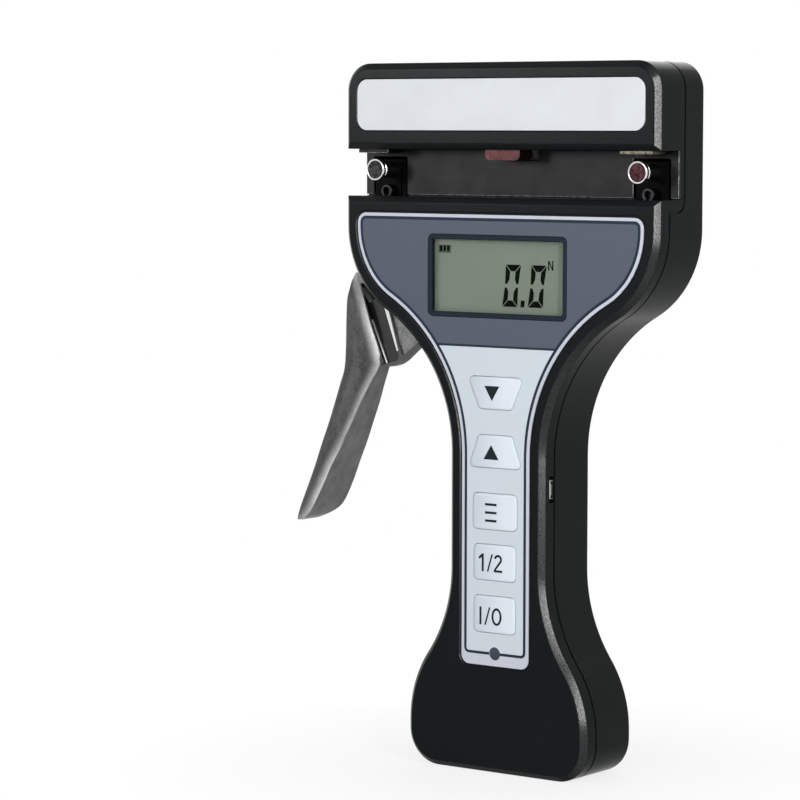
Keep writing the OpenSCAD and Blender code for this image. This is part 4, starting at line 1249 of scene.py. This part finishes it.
def on_glass(name, outline):
    piece = slab(name, outline, digit_y, glass_low.y)
    return dress(piece, SEGMENT_INK, "housing", "display_glass")


FIGURE_Z = glass_low.z + 3.45
for place, x in enumerate((1.15, 13.15)):
    for letter in ZERO:
        on_glass("figure_%d_%s" % (place + 1, letter),
                 lean(segments()[letter], x, FIGURE_Z))
on_glass("figure_point", lean([(0, 0), (1.8, 0), (1.8, 2.6), (0, 2.6)], 9.75, FIGURE_Z))
print("figures made from", len(ZERO), "bars each")

# %% Battery and unit on the display
BATTERY_X = (-29.35, -23.55)
BATTERY_Z = (204.2, 207.15)
BATTERY_LINE = 0.25
BATTERY_BAR = 1.42
BATTERY_STEP = 1.72


def battery():
    (x0, x1), (z0, z1), t = BATTERY_X, BATTERY_Z, BATTERY_LINE
    rim = box("battery_rim", (x0, x1), (digit_y, glass_low.y), (z0, z1))
    carve(rim, "DIFFERENCE", box("inside", (x0 + t, x1 - t), (digit_y - PAST, 0),
                                 (z0 + t, z1 - t)))
    dress(rim, SEGMENT_INK, "housing", "display_glass")
    for i in range(3):
        left = x0 + 0.45 + BATTERY_STEP * i
        right = left + BATTERY_BAR
        on_glass("battery_bar_%d" % (i + 1), [
            (left, z0 + 0.4), (right, z0 + 0.4), (right, z1 - 0.3), (left, z1 - 0.3)])


def unit_mark():
    """A small upright N beside the figure."""
    x0, x1, z0, z1, t = 22.6, 25.1, 198.4, 202.2, 0.58
    on_glass("unit_n", [(x0, z0), (x0 + t, z0), (x0 + t, z1 - 1), (x1 - t, z0), (x1, z0),
                        (x1, z1), (x1 - t, z1), (x1 - t, z0 + 1), (x0 + t, z1), (x0, z1)])


battery()
unit_mark()

# %% [markdown]
# ## Plate, lens and socket
#
# The bare plate in the head is blasted aluminium with a fine rounded edge. The lens is a
# dark drop of resin in a ring, and the socket is a folded steel shell.

# %% Plate in the head
def head_plate():
    rows = [(0.12, 0.0), (0.035, 0.035), (0, 0.12), (0, plate_deep)]
    piece = loft("head_plate_dressed", [round_box(*plate_shape, -d, 12) for d, _ in rows],
                 [front_y + 0.12 + y * 0.88 for _, y in rows])
    return dress(piece, BLASTED_PLATE, "housing", "head_plate", "head_plate")


LENS_SUNK = 0.45
LENS_DOME = 0.4
LENS_FLANGE = 0.8
LENS_FLANGE_T = 1


def lens():
    """Domed front, then the flange that holds it behind the cover."""
    back = limits("indicator_lens")[1].y
    dome = [(LENS_R * math.sin(a), front_y + LENS_SUNK - LENS_DOME * math.cos(a))
            for a in (math.radians(v) for v in (4, 20, 36, 52, 68, 82, 90))]
    piece = turned("lens_dressed", dome + [
        (LENS_R, back - LENS_FLANGE_T), (LENS_R + LENS_FLANGE, back - LENS_FLANGE_T),
        (LENS_R + LENS_FLANGE, back)], 0, lens_z)
    return dress(piece, LENS_DARK, "housing", "indicator_lens", "indicator_lens")


head_plate()
lens()


# %% Socket
SHELL_T = 0.4
TONGUE_HALF = 2.2


def socket():
    (x0, y0, z0), (x1, y1, z1) = usb_low, usb_high
    y0 += SHELL_T
    piece = box("socket_shell", (x0, x1), (y0, y1), (z0, z1))
    soften(piece, SHELL_T, 3)
    carve(piece, "DIFFERENCE", box("mouth", (x0 + 1, x1 + PAST), (y0 + SHELL_T, y1 - SHELL_T),
                                   (z0 + SHELL_T, z1 - SHELL_T)))
    tongue = box("tongue", (x0 + 0.5, x1 - 0.3), (usb_y - 0.3, usb_y + 0.5),
                 (usb_z - TONGUE_HALF, usb_z + TONGUE_HALF))
    carve(piece, "UNION", tongue)
    return dress(piece, SHELL_METAL, "housing", "socket_shell", "usb_port")


socket()

# %% [markdown]
# ## Throat
#
# The throat's back wall is a steel plate with a lengthwise brushed face. The posts are
# turned and chromed, with a ground face at the end, and sit in black brackets above a socket
# cap screw. The copies keep the working model's shape and only round its edges.

# %% Plain copies with rounded edges
# the left pad wears the painted-shade copy of the pad steel
copies = {
    "wear_plate": ([WEAR_STEEL, STEEL_PAINTED_HIGHLIGHT], 0.3), "riser": (RISER_BRONZE, 0.2),
    "left_pad": ([PAD_PAINTED_SHADE, STEEL_PAINTED_HIGHLIGHT], 0.25), "right_pad": (PAD_STEEL, 0.25),
    "left_bracket": (BRACKET_BLACK, 0.25), "right_bracket": (BRACKET_BLACK, 0.25),
}
# rounded edges that get the painted highlight: those facing down, or to the right and front
HIGHLIGHT_EDGES_OF = {
    "wear_plate": lambda way, spot: (way.z < -0.2 and spot.z < wear_low.z + 1
                                     or way.x > 0.2 and way.y < -0.6 and spot.x > 0),
    "left_pad": lambda way, spot: way.z < -0.2 or way.x > 0.2,
}
body_of = {node: body for body, nodes in frame["record"]["behaviour"]["bodies"].items()
           for node in nodes}
slot_of = {part["node"]: part["material_slot"] for part in frame["record"]["subparts"]}


def paint_edge_highlight(piece, chosen):
    """Gives the painted highlight finish to the rounded front edges for which chosen says so.
    """
    for face in piece.data.polygons:
        rounded_front = -0.97 < face.normal.y < -0.25
        face.material_index = int(rounded_front and chosen(face.normal, face.center / MM))
    return piece


for node, (finishes, width) in copies.items():
    piece = copy_node(node, width)
    if node in HIGHLIGHT_EDGES_OF:
        paint_edge_highlight(piece, HIGHLIGHT_EDGES_OF[node])
    dress(piece, finishes, body_of[node], slot_of[node], node)


# %% Posts
POST_R = 3.3
POST_PIN_R = 2.5
FACE_RIM = 0.8


def round_node(node):
    """Height of the middle, radius, front and back of a round node, in millimetres."""
    low, high = limits(node)
    return centre(node).z, (high.z - low.z) / 2, low.y, high.y


def post(side, name, face_finish):
    """Ground face, bright rim, a fine groove, a second bead, and the shaft behind them."""
    x = side * post_x
    z, r, y0, y1 = round_node(name)
    profile = [
        (0.4, 0.16), (r - 0.75, 0.16), (r - 0.6, 0.04), (r - 0.45, 0), (r - 0.2, 0.1),
        (r, 0.4), (r, 1.5), (r - 0.06, 1.66), (r - 0.2, 1.74), (r - 0.2, 1.96),
        (r - 0.12, 2.05), (r, 2.2), (r, 3), (r - 0.2, 3.3), (POST_R + 0.1, 3.5), (POST_R, 3.7)]
    rings = [(ring_r, y0 + depth) for ring_r, depth in profile]
    shaft = [(POST_R, plate_y), (POST_PIN_R, plate_y), (POST_PIN_R, y1)]
    piece = turned(name + "_dressed", rings + shaft, x, z, 64)
    for face in piece.data.polygons:
        middle = face.center / MM
        inner = math.hypot(middle.x - x, middle.z - z) < r - FACE_RIM
        face.material_index = 1 if inner and middle.y < y0 + 0.3 else 0
    return dress(piece, [CHROME, face_finish], "carriage", "post_chrome", name)


post(-1, "left_post", POST_GREY)
post(1, "right_post", POST_BROWN)


# %% Socket cap screws
HEX_TURN = 12
SHANK_R = 1.5


def hexagon(x, z, r):
    return [(x + r * math.cos(a), z + r * math.sin(a))
            for a in (math.radians(60 * i + HEX_TURN) for i in range(6))]


def cap_screw(side, name):
    x = side * post_x
    z, r, y0, y1 = round_node(name)
    profile = [(r - 0.5, y0), (r - 0.2, y0 + 0.08), (r, y0 + 0.35), (r, plate_y),
               (SHANK_R, plate_y), (SHANK_R, y1)]
    piece = turned(name + "_dressed", profile, x, z)
    cone = turned("cone", [(2.1, y0 - 0.3), (1.5, y0 + 0.3)], x, z)
    carve(piece, "DIFFERENCE", slab("hex", hexagon(x, z, 1.7), y0 - PAST, y0 + 2.2), cone)
    return dress(piece, BLACK_OXIDE, "carriage", "black_screw", name)


cap_screw(-1, "left_post_screw")
cap_screw(1, "right_post_screw")

# %% [markdown]
# ## Trigger
#
# The trigger is a casting: a half round back that the fingers pull, a flat inner face, and a
# hollow in its upper part where the arm goes into the case. Its sections, listed with its
# finish, lie at a few heights, as in the working model, and a smooth curve through them
# gives the many rings of a fine skin.

# %% Rings of the lever
KNEE = 10
SECTION_STEPS = 40
RINGS_PER_SECTION = 4


def lever_ring(section, wall=0.0):
    """An ellipse cut flat on the side that faces the grip, in the model's place."""
    height, inner, outer, flat, wide = section
    flat, wide, outer = flat - wall, wide - wall, outer + wall
    a0 = math.asin(flat / wide)
    rx = (inner - outer) / (1 + math.cos(a0))
    cx = inner - rx * math.cos(a0)
    turn = [a0 + (2 * math.pi - 2 * a0) * i / SECTION_STEPS
            for i in range(SECTION_STEPS + 1)]
    return [(pivot_x + cx + rx * math.cos(a), wide * math.sin(a), pivot_z + height)
            for a in turn]


def between(p0, p1, p2, p3, t):
    """A smooth curve from p1 to p2 whose slopes follow their neighbours."""
    return tuple(
        0.5 * (2 * b + (c - a) * t + (2 * a - 5 * b + 4 * c - d) * t * t
               + (3 * b - a - 3 * c + d) * t ** 3)
        for a, b, c, d in zip(p0, p1, p2, p3))


def fine_sections(rows):
    """Rows between the given ones."""
    found = []
    for k in range(len(rows) - 1):
        near = [rows[max(k - 1, 0)], rows[k], rows[k + 1], rows[min(k + 2, len(rows) - 1)]]
        found += [between(*near, i / RINGS_PER_SECTION) for i in range(RINGS_PER_SECTION)]
    return found + [rows[-1]]


lower_rows = fine_sections(LEVER_SECTIONS[:KNEE + 1])
upper_rows = fine_sections(LEVER_SECTIONS[KNEE:])
lever_rows = lower_rows + upper_rows[1:]
print("lever rings:", len(lever_rows))

# %% Hollow of the lever
POCKET_LOW, POCKET_HIGH = -30.4, 0.5
RIM_LOW, RIM_HIGH = 1.1, 0.7
HOLLOW_DEEP = 1.6
HOLLOW_PAST = 4


def in_finish(finish, piece):
    """Gives a cutter one of the casting's finishes, which its cut faces keep."""
    for each in CASTING:
        piece.data.materials.append(each)
    for face in piece.data.polygons:
        face.material_index = CASTING.index(finish)
    return piece


def lever_hollow():
    """What is cut from the lever's upper part: its sections moved in by the wall."""
    rings = []
    for row in upper_rows:
        if POCKET_LOW < row[0] < POCKET_HIGH:
            share = (row[0] - POCKET_LOW) / (POCKET_HIGH - POCKET_LOW)
            ring = lever_ring(row, RIM_LOW + (RIM_HIGH - RIM_LOW) * share)
            (x, y, z), last = ring[0], ring[-1]
            ring = [(max(px, x - HOLLOW_DEEP), py, pz) for px, py, pz in ring]
            rings.append([(x + HOLLOW_PAST, y, z)] + ring
                         + [(last[0] + HOLLOW_PAST, last[1], z)])
    # the hollow's faces take the painted-shade copy of the cast finish
    return in_finish(CAST_SIDE_PAINTED_SHADE, skin("lever_hollow", rings))


# %% Arm of the trigger
ARM_OUTLINE = [(-24.8, -7.9), (-29.4, -1), (-31, -8), (-22, -30), (-18, -33.2),
               (-14.2, -33.2), (-10.6, -32.2), (-8, -30.7), (0.6, -23.5), (5.5, -6), (4, 5),
               (-4, 6.6), (-12, 1.5)]
WEB_RECESS = [(-34, 2), (-34, -31), (-20, -32.6), (-15, -31.8), (-10.3, -30.6),
              (-9.3, -28.8), (-17.6, -6)]
ARM_POCKET = [(-14.1, -10.5), (-8, -27.8), (-7.1, -28.4), (1.4, -21.7), (2.6, -12)]
FIRST_RIB = stroke(-22.9, -14.4, -15.2, -31.7, 0.55)
SECOND_RIB = [(-17, -8.4), (-14.9, -9), (-9.6, -26.4), (-10.3, -26.6)]
ARM_CURVE = 1.2
RECESS_CURVE = 0.7
ARM_HALF = 2.5
WEB_FLOOR = 1.8
FLOOR_OF_POCKET = 1.5
RIB_HALF = 2.6


def rounded(points, reach, steps=5):
    """A polygon whose corners are curves that start this far before each corner."""
    line = []
    for i in range(len(points)):
        before, corner, after = (Vector(points[(i + k) % len(points)]) for k in (-1, 0, 1))
        start = corner + (before - corner).normalized() * reach
        end = corner + (after - corner).normalized() * reach
        for t in (k / steps for k in range(steps + 1)):
            line.append(tuple(start * (1 - t) ** 2 + corner * 2 * t * (1 - t) + end * t ** 2))
    return line


def from_pivot(points):
    return [(x + pivot_x, z + pivot_z) for x, z in points]


def hollow_in_arm(name, points, depth, finish, side):
    """A cutter for one face of the arm, from a depth outwards."""
    line = from_pivot(rounded(points, RECESS_CURVE))
    return in_finish(finish, slab(name, line, *sorted((side * depth,
                                                       side * (ARM_HALF + PAST)))))


def trigger_arm():
    """A plate with two raised ribs, and hollows beside them on both faces."""
    # painted shade on the arm's faces and web recesses, painted light on its pocket floors
    arm = in_finish(CAST_SIDE_PAINTED_SHADE, slab("arm", from_pivot(rounded(ARM_OUTLINE, ARM_CURVE)),
                                    -ARM_HALF, ARM_HALF))
    for side in (-1, 1):
        carve(arm, "DIFFERENCE",
              hollow_in_arm("web_recess", WEB_RECESS, WEB_FLOOR, CAST_SKIN_PAINTED_SHADE, side),
              hollow_in_arm("arm_pocket", ARM_POCKET, FLOOR_OF_POCKET, CAST_FLOOR_PAINTED_LIGHT, side))
    tools = [in_finish(CAST_METAL_WITH_PAINTED_LIGHT, slab("rib", from_pivot(line), -RIB_HALF, RIB_HALF))
             for line in (FIRST_RIB, SECOND_RIB)]
    carve(arm, "UNION", *tools)
    return soften(arm, 0.2, 2, 50)


# %% Trigger
HUB_R = 7.5
HUB_HALF = 3.5
TAIL_R = 5.5
SLOT_R = 2.6
TAIL_HALF = ARM_HALF - 0.1
BUSH_R = 4.5
SLOT_NEAR, SLOT_FAR = -1.5, 0.9


def trigger():
    lever = in_finish(CAST_METAL_WITH_PAINTED_LIGHT, skin("trigger_dressed",
                                       [lever_ring(row) for row in lever_rows]))
    carve(lever, "DIFFERENCE", lever_hollow())
    soften(lever, 0.22, 2, 45)
    hub = bar("hub", pivot_x, pivot_z, HUB_R, -HUB_HALF, HUB_HALF, 64)
    tip_x = limits("trigger_lever")[1].x - TAIL_R
    tail = box("tail", (pivot_x, tip_x), (-TAIL_HALF, TAIL_HALF),
               (pivot_z - TAIL_R, pivot_z + TAIL_R))
    tip = bar("tip", tip_x, pivot_z, TAIL_R, -TAIL_HALF, TAIL_HALF)
    carve(lever, "UNION", trigger_arm(), hub, tail, tip)
    bore = bar("bore", pivot_x, pivot_z, BUSH_R, -HUB_HALF - PAST, HUB_HALF + PAST, 64)
    slot_x = (tip_x + SLOT_NEAR, tip_x + SLOT_FAR)
    slot = box("slot", slot_x, (-HUB_HALF, HUB_HALF), (pivot_z - SLOT_R, pivot_z + SLOT_R))
    ends = [bar("slot_end", x, pivot_z, SLOT_R, -HUB_HALF, HUB_HALF) for x in slot_x]
    carve(lever, "DIFFERENCE", bore, slot, *ends)
    print("faces in the hollows:", sum(f.material_index > 0 for f in lever.data.polygons))
    return dress(lever, CASTING, "trigger", "trigger_cast", "trigger_lever")


trigger()

# %% [markdown]
# ## Screws at the back
#
# The case screws show at the back, so they get a hexagon socket and a rounded head. One
# profile turned round a line makes a screw, and all ten are joined into one piece.

# %% Case screws
SCREW_SUNK = 0.3
SCREW_HEX_R = 1.2


def case_screws():
    y0, y1 = limits("case_screws")[0].y, back_y - SCREW_SUNK
    profile = [
        (SHANK_R, y0), (SHANK_R, back_y - SCREW_HEAD_H), (SCREW_HEAD_R, back_y - SCREW_HEAD_H),
        (SCREW_HEAD_R, y1 - 0.4), (SCREW_HEAD_R - 0.15, y1 - 0.12), (SCREW_HEAD_R - 0.5, y1)]
    heads = []
    for x, z in case_screw_places:
        screw = turned("screw", profile, x, z)
        hexagon_hole = slab("hex", hexagon(x, z, SCREW_HEX_R), y1 - SCREW_HEX_R, y1 + PAST)
        heads.append(carve(screw, "DIFFERENCE", hexagon_hole))
    first = carve(heads[0], "UNION", *heads[1:])
    first.name = "case_screws_dressed"
    return dress(first, BLACK_OXIDE, "housing", "black_screw", "case_screws")


case_screws()

# %% [markdown]
# ## Return springs
#
# Two coil springs stand on the frame and push the post carriage up, so they shorten when it
# comes down. The working model's coils are rigid, and here each coil is a copy of them,
# kept rigid, with a spring steel finish.

# %% Return springs
def return_spring(node):
    spring = bpy.data.objects.new(node + "_coil", frame["nodes"][node].data.copy())
    bpy.context.scene.collection.objects.link(spring)
    low, high = (Vector(corner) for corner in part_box(node))
    spring.data.materials.clear()
    spring.data.materials.append(SPRING_STEEL)
    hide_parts(node)
    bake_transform(spring)
    print(spring.name, "shortens over", round((high.z - low.z) / MM, 2), "mm")


for node in ("left_spring", "right_spring"):
    return_spring(node)

# %% [markdown]
# ## Pieces that keep their shape
#
# The pieces inside keep the working model's shape, which is right already. The record names
# a material slot for each, and the slot says which metal or plastic it is made of.

# %% Finishes of the pieces that keep their shape
SLOT_FINISH = {
    "inner_plastic": INNER_BLACK, "circuit_board": BOARD_GREEN, "inner_steel": SCREW_ZINC,
    "cell_sleeve": CELL_SLEEVE, "frame_steel": FRAME_STEEL, "load_cell": CELL_METAL,
    "gauge_foil": GAUGE_FOIL, "ground_steel": GROUND_STEEL, "spring_steel": SPRING_STEEL,
    "bush_bronze": BRASS_BUSH, "black_screw": BLACK_OXIDE}
NODE_FINISH = {"lcd_holder": HOLDER_WHITE, "indicator_lamp": LAMP_CLEAR}
for name, node in frame["nodes"].items():
    if node.hide_render:
        continue
    finish = NODE_FINISH.get(name) or SLOT_FINISH[slot_of[name]]
    node.data.materials.clear()
    node.data.materials.append(finish)
    print("finish", finish.name, "on", name)

# %% [markdown]
# ## Floor, background and light
#
# The object stands on a plain pale floor. Camera, glossy and transmission rays see the floor
# and the world as white, so chrome and glass show a white studio, while the light on the
# object stays at a plain level. The floor keeps a share of its real shading, and with it the
# soft shadow under the object. Four square lamps give the plain light: a wide one lights the
# front, a small one the left, a tall narrow one draws a highlight down the right-hand edge,
# and a weak one keeps the back from going dark.

# %% Floor
FLOOR_HALF = 6
SHADING_SHARE = 0.2
SHADE_FULL = 0.04
SHADE_NONE = 0.16


def seen_rays(make):
    """1 for rays that should see a white background, and 0 for rays that carry light."""
    kinds = [make.node("LightPath", output=kind) for kind in (
        "Is Camera Ray", "Is Glossy Ray", "Is Transmission Ray")]
    return make.node("Math", {"operation": "MINIMUM"}, {0: sum(kinds), 1: 1.0})


def floor_finish():
    make = new_finish("floor_white")
    speck = make.noise(1.5, 2)
    plain = make.node("BsdfPrincipled", {}, {
        "Base Color": make.mix(speck, grey(0.86), grey(0.9)), "Roughness": 0.7,
        "Specular IOR Level": 0.1})
    white = make.node("Emission", {}, {"Color": (1, 1, 1, 1), "Strength": 1.0})
    away = make.node("VectorMath", {"operation": "LENGTH"}, {0: make.place()}, "Value")
    near = make.spread(away, SHADE_NONE, SHADE_FULL)
    share = seen_rays(make) * (1 - near * SHADING_SHARE)
    return make.end(make.node("MixShader", {}, {0: share, 1: plain, 2: white}))


floor = mesh_piece("floor", [
    (x / MM, y / MM, 0) for x, y in ((-FLOOR_HALF, -FLOOR_HALF), (FLOOR_HALF, -FLOOR_HALF),
                                     (FLOOR_HALF, FLOOR_HALF), (-FLOOR_HALF, FLOOR_HALF))],
    [(0, 1, 2, 3)])
floor.data.materials.append(floor_finish())
print("floor", 2 * FLOOR_HALF, "m wide")

# %% World and lamps
AMBIENT = 0.25


def white_world():
    make = Finish(bpy.data.worlds.new("white"))
    level = seen_rays(make) * (1 - AMBIENT) + AMBIENT
    white = make.node("Background", {}, {"Color": (1, 1, 1, 1), "Strength": level})
    make.end(white, "OutputWorld")
    bpy.context.scene.world = make.owner


def lamp(name, turn, rise, distance, size, power):
    """A square soft light that looks at the middle of the object.

    turn is measured round the object from the front, to the right, and rise upwards. Both
    are in degrees, distance and size are in metres, and power is in watts.
    """
    data = bpy.data.lights.new(name, "AREA")
    data.shape = "RECTANGLE"
    data.size, data.size_y = size
    data.energy = power
    light = bpy.data.objects.new(name, data)
    a, e = math.radians(turn), math.radians(rise)
    away = Vector((math.sin(a) * math.cos(e), -math.cos(a) * math.cos(e), math.sin(e)))
    middle = Vector((0, 0, total_h / 2)) * MM
    light.location = middle + away * distance
    light.rotation_euler = away.to_track_quat("Z", "Y").to_euler()
    bpy.context.scene.collection.objects.link(light)
    return light


white_world()
lamp("front_light", turn=12, rise=22, distance=1.6, size=(1.0, 0.8), power=5.6)
lamp("left_light", turn=-36, rise=11.1, distance=1.6, size=(0.3, 0.35), power=6.4)
lamp("edge_light", turn=57, rise=18.5, distance=0.8, size=(0.08, 0.72), power=4)
lamp("back_light", turn=205, rise=24, distance=1.6, size=(1.2, 0.9), power=6)
bpy.context.scene.view_settings.view_transform = "Standard"
print("lamps set")
